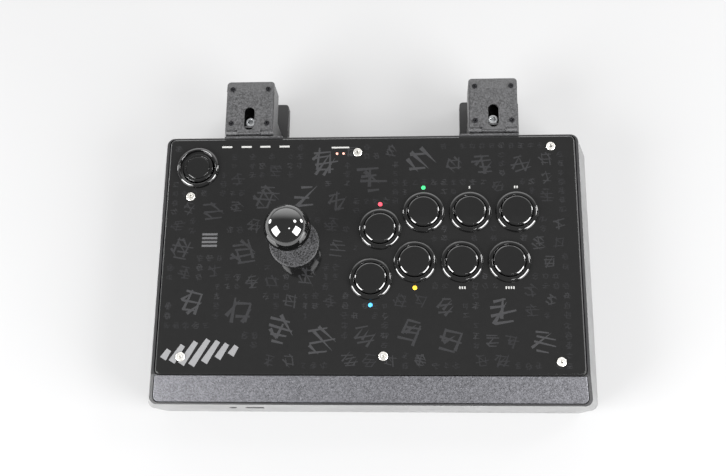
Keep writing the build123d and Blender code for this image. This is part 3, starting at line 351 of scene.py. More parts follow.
@dataclass(frozen=True)
class FlakePaint(Finish):
    """Textured paint with metal flake on sheet metal: each flake leans its own way and glints, and the glints
    are painted into the colour.
    """

    flake_mm: float = 0.8
    grit_mm: float = 0.7
    metallic: float = 0.75

    def dress(self, tree: Tree, shader: Node, place: Socket) -> None:
        """Adds cells of painted glint, each cell a different brightness, for the way each flake leans. They
        are drawn coarser than real ones, to show at all.

        Args:
            tree: The material's nodes.
            shader: The surface shader.
            place: Object coordinates in metres.
        """
        flake_glints = add_node(
            tree, "ShaderNodeTexVoronoi", {"Vector": place, "Scale": 1 / (self.flake_mm * MM)}
        )
        shade = add_node(tree, "ShaderNodeSeparateColor", {0: flake_glints.outputs["Color"]})
        # painted glints: each flake cell's brightness stands in for the light it catches at its lean
        self.tint(tree, shader, shade.outputs[0], 0.62, 1.38)
        self.vary_roughness(tree, shader, shade.outputs[1], 0.1)
        grit = add_node(
            tree, "ShaderNodeTexNoise", {"Vector": place, "Scale": 1 / (self.grit_mm * MM), "Detail": 4.0}
        )
        self.relief(tree, shader, grit.outputs[0], 0.12, 0.7)
        shader.inputs["Metallic"].default_value = self.metallic


@dataclass(frozen=True)
class PlatedSteel(Finish):
    """Turned and plated steel: bright metal with fine lathe lines."""

    line_mm: float = 0.25

    def dress(self, tree: Tree, shader: Node, place: Socket) -> None:
        """Adds fine lines in the plating and small stains in its gloss.

        Args:
            tree: The material's nodes.
            shader: The surface shader.
            place: Object coordinates in metres.
        """
        lines = add_node(
            tree,
            "ShaderNodeTexWave",
            {"Vector": place, "Scale": 0.3 / (self.line_mm * MM), "Distortion": 1.5, "Detail": 2.0},
            wave_type="BANDS",
            bands_direction="Z",
        )
        stain = add_node(tree, "ShaderNodeTexNoise", {"Vector": place, "Scale": 300.0, "Detail": 4.0})
        self.tint(tree, shader, stain.outputs[0], 0.9, 1.06)
        self.vary_roughness(tree, shader, stain.outputs[0], 0.08)
        self.relief(tree, shader, lines.outputs[0], 0.01, 0.2)
        shader.inputs["Metallic"].default_value = 1.0


@dataclass(frozen=True)
class SoftRubber(Finish):
    """Compression-moulded rubber: matt, with a fine bloom that greys it in patches."""

    tooth_mm: float = 0.4

    def dress(self, tree: Tree, shader: Node, place: Socket) -> None:
        """Adds bloom and a fine tooth.

        Args:
            tree: The material's nodes.
            shader: The surface shader.
            place: Object coordinates in metres.
        """
        bloom = add_node(tree, "ShaderNodeTexNoise", {"Vector": place, "Scale": 90.0, "Detail": 5.0})
        tooth = add_node(tree, "ShaderNodeTexNoise", {"Vector": place, "Scale": 1 / (self.tooth_mm * MM)})
        self.tint(tree, shader, bloom.outputs[0], 0.75, 1.5)
        self.relief(tree, shader, tooth.outputs[0], 0.03, 0.6)


@dataclass(frozen=True)
class CircuitBoard(Finish):
    """Glass-fibre board with solder mask: green gloss, with copper tracks that show lighter."""

    def dress(self, tree: Tree, shader: Node, place: Socket) -> None:
        """Adds tracks as a brick grid seen through the mask.

        Args:
            tree: The material's nodes.
            shader: The surface shader.
            place: Object coordinates in metres.
        """
        tracks = add_node(
            tree,
            "ShaderNodeTexBrick",
            {
                "Vector": place,
                "Scale": 60.0,
                "Mortar Size": 0.03,
                "Color1": (0.0, 0.0, 0.0, 1.0),
                "Color2": (0.2, 0.2, 0.2, 1.0),
                "Mortar": (1.0, 1.0, 1.0, 1.0),
            },
        )
        self.tint(tree, shader, tracks.outputs[0], 0.8, 1.9)
        self.relief(tree, shader, tracks.outputs[0], 0.04, 0.5)


@dataclass(frozen=True)
class LampLens(Finish):
    """Clear acrylic light pipe: shows a faint red of the lamp below it."""

    def dress(self, tree: Tree, shader: Node, place: Socket) -> None:
        """Adds a cloudy glow, as an unlit red lamp gives a clear pipe.

        Args:
            tree: The material's nodes.
            shader: The surface shader.
            place: Object coordinates in metres.
        """
        cloud = add_node(tree, "ShaderNodeTexNoise", {"Vector": place, "Scale": 900.0})
        self.tint(tree, shader, cloud.outputs[0], 0.8, 1.2)
        self.vary_roughness(tree, shader, cloud.outputs[0], 0.05)
        shader.inputs["IOR"].default_value = 1.49


@dataclass(frozen=True)
class ScreenInk(Finish):
    """Screen-printed ink under a gloss lacquer: an even tone with the mesh's slight mottle."""

    mottle: float = 0.18
    mottle_mm: float = 1.6

    def dress(self, tree: Tree, shader: Node, place: Socket) -> None:
        """Adds the mottle of a pulled print.

        Args:
            tree: The material's nodes.
            shader: The surface shader.
            place: Object coordinates in metres.
        """
        cloud = add_node(
            tree, "ShaderNodeTexNoise", {"Vector": place, "Scale": 1 / (self.mottle_mm * MM), "Detail": 3.0}
        )
        self.tint(tree, shader, cloud.outputs[0], 1 - self.mottle, 1 + self.mottle)
        self.vary_roughness(tree, shader, cloud.outputs[0], 0.03)
        shader.inputs["IOR"].default_value = 1.49


FINISHES: dict[str, Finish] = {
    "shell": MouldedPlastic("satin_abs_case", "#161617", 0.34),
    "strip": FlakePaint("flake_paint_strip", "#454548", 0.46),
    "steel": PowderCoat("black_painted_sheet_steel", "#121213", 0.45),
    "cover": GlossPlastic("gloss_acrylic_cover", "#0b0b0b", 0.07, ior=1.49, haze=0.03, ripple_mm=40.0),
    "bright_screw": PlatedSteel("nickel_plated_screw", "#cfcdc8", 0.38),
    "dark_screw": PlatedSteel("black_oxide_screw", "#2b2b2d", 0.4),
    "rubber": SoftRubber("moulded_rubber", "#141414", 0.8),
    "button_gloss": GlossPlastic("gloss_nylon_button", "#070707", 0.06),
    "inner_plastic": CoarseNylon("textured_nylon_washer", "#161617", 0.6),
    "stick_steel": PlatedSteel("turned_steel_shaft", "#a9a9a9", 0.25),
    "ball": GlossPlastic("polished_phenolic_ball", "#050505", 0.03, ior=1.6, haze=0.015),
    "board": CircuitBoard("green_circuit_board", "#0f5a2c", 0.35),
    "lamp": LampLens("acrylic_light_pipe", "#b98478", 0.15),
    "clamp_grey": PowderCoat("grey_powder_coat_clamp", "#272728", 0.48, speck=0.6),
    "jaw_black": MouldedPlastic("black_nylon_jaw", "#0e0e0f", 0.5, grain_mm=0.8),
    "silver": PlatedSteel("zinc_plated_steel", "#c4c6c8", 0.3),
}
NODE_SLOT: dict[str, str] = {s["node"]: s["material_slot"] for s in frame["record"]["subparts"]}
NODE_BODY: dict[str, str] = {
    node: body for body, nodes in frame["record"]["behaviour"]["bodies"].items() for node in nodes
}


# ------------------------------------------------------------------ mesh tools
def rounded_outline(corners: Sequence[Corner], steps: int = 6) -> list[tuple[float, float]]:
    """Rounds the corners of an open or closed outline.

    Args:
        corners: Points with a fillet radius each. A radius of zero keeps the corner sharp.
        steps: Straight pieces in each rounded corner.

    Returns:
        The outline's points in order.
    """
    points: list[tuple[float, float]] = []
    count = len(corners)
    for index, (x, z, radius) in enumerate(corners):
        here = Vector((x, z))
        if radius <= 0 or index in (0, count - 1):
            points.append((x, z))
            continue
        back = (Vector(corners[index - 1][:2]) - here).normalized()
        ahead = (Vector(corners[index + 1][:2]) - here).normalized()
        half = back.angle(ahead) / 2
        reach = radius / math.tan(half)
        centre = here + (back + ahead).normalized() * (radius / math.sin(half))
        start = here + back * reach - centre
        turn = (here + ahead * reach - centre).angle_signed(start)
        for step in range(steps + 1):
            angle = turn * step / steps
            spoke = Vector(
                (
                    start.x * math.cos(angle) - start.y * math.sin(angle),
                    start.x * math.sin(angle) + start.y * math.cos(angle),
                )
            )
            points.append(tuple(centre + spoke))
    return points


def lathe(outline: Sequence[tuple[float, float]], centre: Vector, segments: int = 72) -> Shape:
    """Spins an outline of (radius, height) about a vertical axis.

    Args:
        outline: Points from the axis or round a closed section; heights are absolute.
        centre: The axis passes through its x and y.
        segments: Steps in the full turn.

    Returns:
        A bmesh of the turned shape.
    """
    mesh = bmesh.new()
    verts = [mesh.verts.new((radius, 0.0, height)) for radius, height in outline]
    closed = outline[0][0] > 1e-9 and outline[-1][0] > 1e-9
    ends = verts[1:] + ([verts[0]] if closed else [])
    edges = [mesh.edges.new(pair) for pair in zip(verts, ends)]
    bmesh.ops.spin(
        mesh,
        geom=verts + edges,
        cent=(0, 0, 0),
        axis=(0, 0, 1),
        angle=math.tau,
        steps=segments,
        use_merge=True,
    )
    bmesh.ops.remove_doubles(mesh, verts=mesh.verts[:], dist=1e-7)
    bmesh.ops.recalc_face_normals(mesh, faces=mesh.faces[:])
    bmesh.ops.translate(mesh, verts=mesh.verts[:], vec=(centre.x, centre.y, 0.0))
    return mesh


def block(mesh: Shape, low: Vector, high: Vector, turn: float = 0.0) -> list[bmesh.types.BMVert]:
    """Adds a box between two corners, turned about its own vertical axis.

    Args:
        mesh: The bmesh that gets the box.
        low: Lowest corner.
        high: Highest corner.
        turn: Angle in radians.

    Returns:
        The box's vertices.
    """
    place = Matrix.Translation((low + high) / 2) @ Matrix.Rotation(turn, 4, "Z")
    size = Matrix.Diagonal((*(high - low), 1.0))
    return bmesh.ops.create_cube(mesh, size=1.0, matrix=place @ size)["verts"]


def bevel_sharp(mesh: Shape, width: float, segments: int = 2, angle: float = 28.0) -> None:
    """Rounds every edge whose faces meet at more than an angle.

    Args:
        mesh: The shape to round.
        width: Width of the rounding.
        segments: Steps across it.
        angle: The angle in degrees.
    """
    limit = math.radians(angle)
    sharp = [e for e in mesh.edges if len(e.link_faces) == 2 and e.calc_face_angle(0.0) > limit]
    bmesh.ops.bevel(
        mesh,
        geom=sharp,
        offset=width,
        offset_type="OFFSET",
        affect="EDGES",
        segments=segments,
        profile=0.5,
        material=-1,
        clamp_overlap=True,
    )


def finish_piece(
    name: str,
    mesh: Shape,
    body: str,
    slot: str,
    replaced: Sequence[str] = (),
    smooth: float = 35.0,
    finish: Finish | None = None,
) -> bpy.types.Object:
    """Makes an object of a bmesh, dresses it and ties it to its body.

    Args:
        name: The piece's name.
        mesh: Its shape; it is freed here.
        body: The CAD body that it rides on.
        slot: The record's material slot.
        replaced: CAD nodes that it stands for.
        smooth: Edges sharper than this angle in degrees stay sharp.
        finish: A finish other than the slot's own.

    Returns:
        The new object.
    """
    data = bpy.data.meshes.new(name)
    mesh.to_mesh(data)
    mesh.free()
    for polygon in data.polygons:
        polygon.use_smooth = True
    data.set_sharp_from_angle(angle=math.radians(smooth))
    piece = bpy.data.objects.new(name, data)
    bpy.context.scene.collection.objects.link(piece)
    data.materials.append((finish or FINISHES[slot]).material())
    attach(piece, body)
    if replaced:
        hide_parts(*replaced)
    LOG.info("piece %s: %d faces on %s", name, len(data.polygons), body)
    return piece


def softened(node: str, width_mm: float, segments: int = 2, finish: Finish | None = None) -> bpy.types.Object:
    """Stands in for a CAD node with the same shape, its edges rounded.

    Args:
        node: The CAD node.
        width_mm: Width of the rounding.
        segments: Steps across the rounding.
        finish: A finish other than the slot's own.

    Returns:
        The new object.
    """
    mesh = bmesh.new()
    mesh.from_mesh(frame["nodes"][node].data)
    bmesh.ops.remove_doubles(mesh, verts=mesh.verts[:], dist=2e-6)
    bmesh.ops.dissolve_limit(
        mesh, angle_limit=math.radians(0.8), verts=mesh.verts[:], edges=mesh.edges[:], delimit={"NORMAL"}
    )
    bevel_sharp(mesh, width_mm * MM, segments)
    piece = finish_piece(f"{node}_shown", mesh, NODE_BODY[node], NODE_SLOT[node], (node,), finish=finish)
    weighted = piece.modifiers.new("even_shading", "WEIGHTED_NORMAL")
    weighted.keep_sharp = True
    return piece


def dress_node(node: str) -> None:
    """Gives a CAD node that stays as it is the finish of its slot.

    Args:
        node: The CAD node.
    """
    target = frame["nodes"][node]
    target.data.materials.clear()
    target.data.materials.append(FINISHES[NODE_SLOT[node]].material())


def merge(mesh: Shape, other: Shape) -> None:
    """Moves all of one shape into another.

    Args:
        mesh: The shape that gets it.
        other: The shape that is moved; it is freed here.
    """
    data = bpy.data.meshes.new("part")
    other.to_mesh(data)
    other.free()
    mesh.from_mesh(data)
    bpy.data.meshes.remove(data)


def middle(node: str) -> Vector:
    """Centre of a CAD node's box."""
    low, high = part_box(node)
    return (low + high) / 2


# ------------------------------------------------------------------ sub-assemblies
@dataclass
class Case:
    """The flared case: shell, tray, front strip, feet, sockets and cable inlet."""

    softened_nodes: tuple[tuple[str, float], ...] = (
        ("top_shell", 0.6),
        ("bottom_tray", 0.8),
        ("wrist_strip", 0.5),
        ("rubber_feet", 0.8),
        ("cable_inlet", 0.4),
        ("headset_jack", 0.2),
        ("usb_port", 0.2),
    )

    def build(self) -> None:
        """Rounds the edges of every part of the case."""
        for node, width in self.softened_nodes:
            softened(node, width)
        for number in range(1, 5):
            softened(f"rear_button_{number}", 0.5)


class Side(Enum):
    """The two clamps."""

    LEFT = "left"
    RIGHT = "right"


@dataclass
class Clamp:
    """One table clamp: casting, cover plate, screws, jaw, bracket and pin."""

    side: Side

    def build(self) -> None:
        """Builds every piece of the clamp."""
        name = self.side.value
        softened(f"{name}_clamp_body", 0.7, 3)
        softened(f"{name}_clamp_cover", 0.25)
        softened(f"{name}_lower_jaw", 0.9, 3)
        softened(f"{name}_clamp_bracket", 0.3)
        softened(f"{name}_clamp_screw", 0.25)
        softened(f"{name}_cover_screws", 0.15)
        dress_node(f"{name}_hinge_pin")


@dataclass
class Buttons:
    """The eight push buttons and the ringed option button."""

    rim_mm: float = 16.5
    rim_height_mm: float = 3.0
    plunger_mm: float = 12.25
    plunger_rise_mm: float = 4.8
    skirt_mm: float = 9.0
    plunger_wall_mm: float = 1.6
    clearance_mm: float = 0.3  # between a plunger and its barrel
    barrel_mm: float = 14.8
    barrel_depth_mm: float = 20.0
    seat_mm: float = 0.02  # between a rim and the cover
    option_rim_mm: float = 16.9
    option_opening_mm: float = 14.0
    option_plunger_mm: float = 12.0
    option_disc_mm: float = 9.25
    option_groove_mm: float = 0.45
    segments: int = 96
    count: int = 8

    def build(self) -> None:
        """Turns the rims and the plungers with the rounded edges that catch the light."""
        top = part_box("panel_cover")[1].z
        rims = bmesh.new()
        for number in range(1, self.count + 1):
            centre = middle(f"button_{number}_plunger")
            self.add_rim(rims, centre, top, self.rim_mm, self.plunger_mm + self.clearance_mm)
        finish_piece("button_rims", rims, "case", "button_gloss", ("button_housings",))
        for number in range(1, self.count + 1):
            node = f"button_{number}_plunger"
            self.plunger(node, f"button_{number}", top)
        self.option(top)

    def add_rim(
        self, mesh: Shape, centre: Vector, top: float, outer_mm: float, inner_mm: float
    ) -> None:
        """Adds a button's rim and barrel to a bmesh.

        Args:
            mesh: The bmesh that gets the rim.
            centre: The button's middle.
            top: Height of the panel's top face.
            outer_mm: Radius outside.
            inner_mm: Radius of the rim's opening.
        """
        outer = outer_mm * MM
        inner = inner_mm * MM
        bore = (self.plunger_mm + self.clearance_mm) * MM
        barrel = self.barrel_mm * MM
        seat = top + self.seat_mm * MM
        foot = top - self.barrel_depth_mm * MM
        crest = top + self.rim_height_mm * MM
        corners: list[Corner] = [
            (bore, foot, 0.0),
            (bore, top - 1.0 * MM, 0.0),
            (inner, top - 0.5 * MM, 0.0),
            (inner, crest, 0.8 * MM),
            (outer, crest, 2.3 * MM),
            (outer, seat, 0.0),
            (barrel, seat, 0.0),
            (barrel, foot, 0.0),
        ]
        merge(mesh, lathe(rounded_outline(corners), centre, self.segments))

    def plunger(self, node: str, body: str, top: float) -> None:
        """Turns one plunger: a wide shallow dish inside a rounded edge.

        Args:
            node: The CAD node that it stands for.
            body: The body that it rides on.
            top: Height of the panel's top face.
        """
        radius = self.plunger_mm * MM
        crest = top + self.plunger_rise_mm * MM
        foot = top - self.skirt_mm * MM
        inside = radius - self.plunger_wall_mm * MM
        corners: list[Corner] = [
            (0.0, crest - 0.45 * MM, 0.0),
            (5.0 * MM, crest - 0.38 * MM, 3.0 * MM),
            (radius - 2.2 * MM, crest - 0.1 * MM, 2.0 * MM),
            (radius - 1.2 * MM, crest, 0.8 * MM),
            (radius - 0.3 * MM, crest - 0.7 * MM, 0.6 * MM),
            (radius, crest - 2.0 * MM, 0.6 * MM),
            (radius, foot, 0.0),
            (inside, foot, 0.0),
            (inside, crest - 3.0 * MM, 0.0),
            (0.0, crest - 3.0 * MM, 0.0),
        ]
        mesh = lathe(rounded_outline(corners), middle(node), self.segments)
        finish_piece(f"{node}_shown", mesh, body, "button_gloss", (node,))

    def option(self, top: float) -> None:
        """Turns the option button: a wide ring round a small stepped plunger.

        Args:
            top: Height of the panel's top face.
        """
        centre = middle("option_plunger")
        ring = bmesh.new()
        self.add_rim(ring, centre, top, self.option_rim_mm, self.option_opening_mm)
        finish_piece("option_ring", ring, "case", "button_gloss", ("option_button_ring",))
        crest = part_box("option_plunger")[1].z
        disc = self.option_disc_mm * MM
        groove = (self.option_disc_mm + self.option_groove_mm) * MM
        outer = self.option_plunger_mm * MM
        inside = (self.option_plunger_mm - self.plunger_wall_mm) * MM
        foot = top - self.skirt_mm * MM
        corners: list[Corner] = [
            (0.0, crest - 0.2 * MM, 0.0),
            (5.0 * MM, crest - 0.1 * MM, 2.0 * MM),
            (disc, crest, 0.5 * MM),
            (disc, crest - 0.9 * MM, 0.0),
            (groove, crest - 0.9 * MM, 0.0),
            (groove, crest - 0.5 * MM, 0.2 * MM),
            (outer, crest - 0.5 * MM, 0.6 * MM),
            (outer, foot, 0.0),
            (inside, foot, 0.0),
            (inside, crest - 2.6 * MM, 0.0),
            (0.0, crest - 2.6 * MM, 0.0),
        ]
        mesh = lathe(rounded_outline(corners), centre, self.segments)
        finish_piece("option_plunger_shown", mesh, "option_button", "button_gloss", ("option_plunger",))


@dataclass
class Stick:
    """The ball top, the shaft and the two dust washers."""

    segments: int = 96
    washer_mm: float = 19.5
    washer_bore_mm: float = 5.3

    def build(self) -> None:
        """Builds the parts of the stick that show."""
        self.ball()
        self.washer()
        self.shaft()

    def ball(self) -> None:
        """Makes the ball with its small flat, with a narrow ring inset round the flat's edge."""
        low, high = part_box("ball_top")
        radius = (high.x - low.x) / 2
        centre = Vector(((low.x + high.x) / 2, (low.y + high.y) / 2, high.z - radius))
        mesh = bmesh.new()
        bmesh.ops.create_uvsphere(
            mesh,
            u_segments=self.segments,
            v_segments=self.segments // 2,
            radius=radius,
            matrix=Matrix.Translation(centre),
        )
        cut = bmesh.ops.bisect_plane(
            mesh,
            geom=mesh.verts[:] + mesh.edges[:] + mesh.faces[:],
            plane_co=(0, 0, low.z),
            plane_no=(0, 0, -1),
            clear_outer=True,
        )
        rim = [e for e in cut["geom_cut"] if isinstance(e, bmesh.types.BMEdge)]
        flat = bmesh.ops.contextual_create(mesh, geom=rim)["faces"]
        bmesh.ops.inset_region(mesh, faces=flat, thickness=0.5 * MM, use_even_offset=True)
        finish_piece("ball_shown", mesh, "stick", "ball", ("ball_top",))

    def washer(self) -> None:
        """Turns the upper dust washer, thick in its middle and rounded at its rim."""
        low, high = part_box("dust_washer")
        centre = middle("dust_washer")
        radius = self.washer_mm * MM
        bore = self.washer_bore_mm * MM
        corners: list[Corner] = [
            (bore, low.z, 0.0),
            (bore, high.z, 0.3 * MM),
            (radius - 0.9 * MM, high.z - 0.1 * MM, 1.5 * MM),
            (radius, low.z + 0.35 * MM, 0.2 * MM),
            (radius, low.z, 0.0),
        ]
        mesh = lathe(rounded_outline(corners), centre, self.segments)
        finish_piece("dust_washer_shown", mesh, "washer", "inner_plastic", ("dust_washer",))

    def shaft(self) -> None:
        """Rounds the shaft's shoulders."""
        softened("stick_shaft", 0.3)
        dress_node("dust_washer_lower")


class Tone(Enum):
    """Inks of the panel's print, from the faintest to the brightest."""

    FAINT = "#151516"
    SOFT = "#1b1b1c"
    STRONG = "#232324"
    WHITE = "#7a7a78"
    SILVER = "#59595a"


@dataclass
class Panel:
    """The gloss cover with its print, the steel panel, the bright screws and the lamps."""

    seed: int = 14
    emblem_lengths_mm: tuple[float, ...] = (8.0, 15.0, 20.0, 23.0, 19.0, 13.0, 8.0)
    emblem_place_mm: tuple[float, float] = (8, 15)  # from the cover's front left corner
    emblem_pitch_mm: float = 8.6
    square_place_mm: tuple[float, float] = (36.3, 105)
    label_inset_mm: float = 6.8
    mark_reach_mm: float = 20.4  # from a button's middle to its mark
    cell_mm: float = 7.6
    margin_mm: float = 3.0
    ink_mm: float = 0.012
    layer_mm: float = 0.003  # crossing strokes differ by this, so that no two faces share a plane
    layer: int = 0
    holes: list[tuple[Vector, float]] = field(default_factory=list)

    def build(self) -> None:
        """Builds the cover, its print and its fasteners."""
        softened("panel_cover", 0.2)
        softened("panel_screws", 0.12)
        dress_node("steel_panel")
        dress_node("status_lamps")
        self.find_holes()
        self.artwork()
        self.emblem()
        self.labels()
        self.marks()

    def find_holes(self) -> None:
        """Lists what the print must keep clear of, with a radius in metres each."""
        for number in range(1, 9):
            self.holes.append((middle(f"button_{number}_plunger"), 16.6 * MM))
        self.holes.append((middle("option_plunger"), 17.0 * MM))
        self.holes.append((middle("ball_top"), 14.0 * MM))
        low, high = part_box("panel_cover")
        emblem_x, emblem_y = self.emblem_place_mm
        for index in range(len(self.emblem_lengths_mm)):
            bar = Vector((emblem_x + index * self.emblem_pitch_mm, emblem_y, 0)) * MM
            self.holes.append((low + bar, 12.0 * MM))
        self.holes.append((Vector((low.x, low.y, 0)) + Vector((*self.square_place_mm, 0)) * MM, 9.0 * MM))
        for number in range(1, 5):
            label = Vector((middle(f"rear_button_{number}").x, high.y - self.label_inset_mm * MM, 0))
            self.holes.append((label, 6.0 * MM))

    def clear(self, x: float, y: float, reach: float) -> bool:
        """Tells whether a disc lies clear of every hole.

        Args:
            x: The disc's middle across the panel.
            y: The disc's middle along the panel.
            reach: The disc's radius.

        Returns:
            True where nothing is met.
        """
        for centre, radius in self.holes:
            if math.hypot(x - centre.x, y - centre.y) < radius + reach:
                return False
        return True

    def ink(
        self, mesh: Shape, centre: Vector, length: float, width: float, turn: float, taper: float
    ) -> None:
        """Adds one printed stroke, a hair proud of the cover.

        Args:
            mesh: The bmesh that gets the stroke.
            centre: Its middle, on the cover's top face.
            length: Its length.
            width: Its width.
            turn: Its direction in radians.
            taper: Width of its far end as a share of the near end.
        """
        self.layer = (self.layer + 1) % 12
        half = Vector((length / 2, width / 2, (self.ink_mm + self.layer * self.layer_mm) * MM))
        verts = block(mesh, centre - half, centre + half, turn)
        axis = Vector((math.cos(turn), math.sin(turn), 0.0))
        across = Vector((-axis.y, axis.x, 0.0))
        for vert in verts:
            offset = vert.co - centre
            if offset.dot(axis) > 0:
                vert.co -= across * offset.dot(across) * (1 - taper)

    def motif(self, mesh: Shape, rng: random.Random, centre: Vector, size: float) -> None:
        """Adds one abstract motif: three families of brush strokes that share a square.

        Args:
            mesh: The bmesh that gets the strokes.
            rng: Seeded random numbers.
            centre: The square's middle on the cover's top face.
            size: The square's side.
        """
        weight = size * rng.uniform(0.07, 0.1)
        lean = rng.uniform(-0.25, 0.25)
        families = (
            (rng.randint(2, 4), lean, 0.6, 1.0),
            (rng.randint(0, 2), lean + math.pi / 2 + rng.uniform(-0.3, 0.3), 0.5, 1.2),
            (rng.randint(1, 3), lean + rng.choice((-0.85, 0.85)), 0.1, 1.4),
        )
        for count, turn, taper, boldness in families:
            across = Vector((-math.sin(turn), math.cos(turn), 0.0))
            for rank in range(count):
                offset = ((rank + 0.5) / count - 0.5) * size * 0.9 + rng.uniform(-0.06, 0.06) * size
                room = max(0.1 * size * size, size * size - 4 * offset * offset)
                length = math.sqrt(room) * rng.uniform(0.45, 0.95)
                along = Vector((math.cos(turn), math.sin(turn), 0.0)) * rng.uniform(-0.1, 0.1) * size
                spot = centre + across * offset + along
                self.ink(mesh, spot, length, weight * boldness, turn + rng.uniform(-0.1, 0.1), taper)

    def artwork(self) -> None:
        """Covers the panel with abstract stroke motifs of three sizes in three dark tones."""
        rng = random.Random(self.seed)
        low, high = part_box("panel_cover")
        margin = self.margin_mm * MM
        cell = self.cell_mm * MM
        columns = int((high.x - low.x - 2 * margin) / cell)
        rows = int((high.y - low.y - 2 * margin) / cell)
        taken: set[tuple[int, int]] = set()
        meshes = {Tone.FAINT: bmesh.new(), Tone.SOFT: bmesh.new(), Tone.STRONG: bmesh.new()}
        for span, chance, tones in (
            (4, 0.1, (Tone.SOFT, Tone.STRONG)),
            (3, 0.1, (Tone.SOFT,)),
            (2, 0.4, (Tone.FAINT, Tone.SOFT)),
            (1, 0.85, (Tone.FAINT, Tone.FAINT, Tone.SOFT)),
        ):
            for column in range(columns - span + 1):
                for row in range(rows - span + 1):
                    roll = rng.random()
                    tone = rng.choice(tones)
                    spots = {(column + i, row + j) for i in range(span) for j in range(span)}
                    if roll > chance or spots & taken:
                        continue
                    x = low.x + margin + (column + span / 2) * cell
                    y = low.y + margin + (row + span / 2) * cell
                    if not self.clear(x, y, span * cell * 0.55):
                        continue
                    taken |= spots
                    size = span * cell * rng.uniform(0.72, 0.86)
                    self.motif(meshes[tone], rng, Vector((x, y, high.z)), size)
        for tone, mesh in meshes.items():
            ink = ScreenInk(f"ink_{tone.name.lower()}", tone.value, 0.09)
            finish_piece(f"print_{tone.name.lower()}", mesh, "case", "cover", smooth=10.0, finish=ink)

    def emblem(self) -> None:
        """Prints the emblem at the front left: plain slanted bars that shorten to the right."""
        low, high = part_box("panel_cover")
        mesh = bmesh.new()
        emblem_x, emblem_y = self.emblem_place_mm
        start = Vector((low.x + emblem_x * MM, low.y + emblem_y * MM, high.z))
        for index, length in enumerate(self.emblem_lengths_mm):
            spot = start + Vector((index * self.emblem_pitch_mm * MM, index * 0.5 * MM, 0.0))
            self.ink(mesh, spot, length * MM, 5.4 * MM, 1.02, 0.72)
        silver = ScreenInk("ink_silver", Tone.SILVER.value, 0.2, mottle=0.08)
        finish_piece("emblem_bars", mesh, "case", "cover", smooth=10.0, finish=silver)
        square = bmesh.new()
        square_x, square_y = self.square_place_mm
        centre = Vector((low.x + square_x * MM, low.y + square_y * MM, high.z))
        for level in range(4):
            self.ink(square, centre + Vector((0, (level - 1.5) * 3.1 * MM, 0)), 12 * MM, 1.7 * MM, 0.0, 1.0)
        grey = ScreenInk("ink_label_grey", "#3c3c3d", 0.2, mottle=0.08)
        finish_piece("square_mark", square, "case", "cover", smooth=10.0, finish=grey)

    def labels(self) -> None:
        """Prints plain bars where the rear buttons and lamps are marked."""
        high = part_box("panel_cover")[1]
        mesh = bmesh.new()
        row_y = high.y - self.label_inset_mm * MM
        for number in range(1, 5):
            x = middle(f"rear_button_{number}").x
            self.ink(mesh, Vector((x, row_y, high.z)), 8.2 * MM, 1.5 * MM, 0.0, 1.0)
        lamps = middle("status_lamps")
        self.ink(mesh, Vector((lamps.x, row_y - 1.4 * MM, high.z)), 14 * MM, 1.3 * MM, 0.0, 1.0)
        for number, ticks in ((3, 1), (4, 2), (7, 3), (8, 4)):
            centre = middle(f"button_{number}_plunger")
            side = 1 if number < 5 else -1
            y = centre.y + side * self.mark_reach_mm * MM
            for tick in range(ticks):
                x = centre.x + (tick - (ticks - 1) / 2) * 1.9 * MM
                self.ink(mesh, Vector((x, y, high.z)), 1.1 * MM, 2.0 * MM, 0.0, 1.0)
        white = ScreenInk("ink_white", Tone.WHITE.value, 0.2, mottle=0.06)
        finish_piece("label_bars", mesh, "case", "cover", smooth=10.0, finish=white)

    def marks(self) -> None:
        """Prints one coloured dot beside each of the four left-hand buttons."""
        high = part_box("panel_cover")[1]
        for number, side, colour, word in (
            (1, 1, "#c8404e", "red"),
            (2, 1, "#2f9a5c", "green"),
            (5, -1, "#3f86b4", "blue"),
            (6, -1, "#c79a2c", "yellow"),
        ):
            centre = middle(f"button_{number}_plunger")
            spot = Vector((centre.x, centre.y + side * self.mark_reach_mm * MM, high.z))
            mesh = bmesh.new()
            bmesh.ops.create_cone(
                mesh,
                cap_ends=True,
                segments=24,
                radius1=1.7 * MM,
                radius2=1.7 * MM,
                depth=2 * self.ink_mm * MM,
                matrix=Matrix.Translation(spot),
            )
            ink = ScreenInk(f"ink_{word}", colour, 0.2, mottle=0.06)
            finish_piece(f"mark_{word}", mesh, "case", "cover", finish=ink)


HIDDEN_NODES: tuple[str, ...] = (
    "tray_screws",
    "button_switches",
    "stick_mount_plate",
    "stick_screws",
    "stick_housing",
    "pivot_ring",
    "stick_spring",
    "stick_actuator",
    "stick_clip",
    "stick_board",
    "restrictor_gate",
    "stick_switches",
    "main_board",
    "clamp_bracket_screws",
)


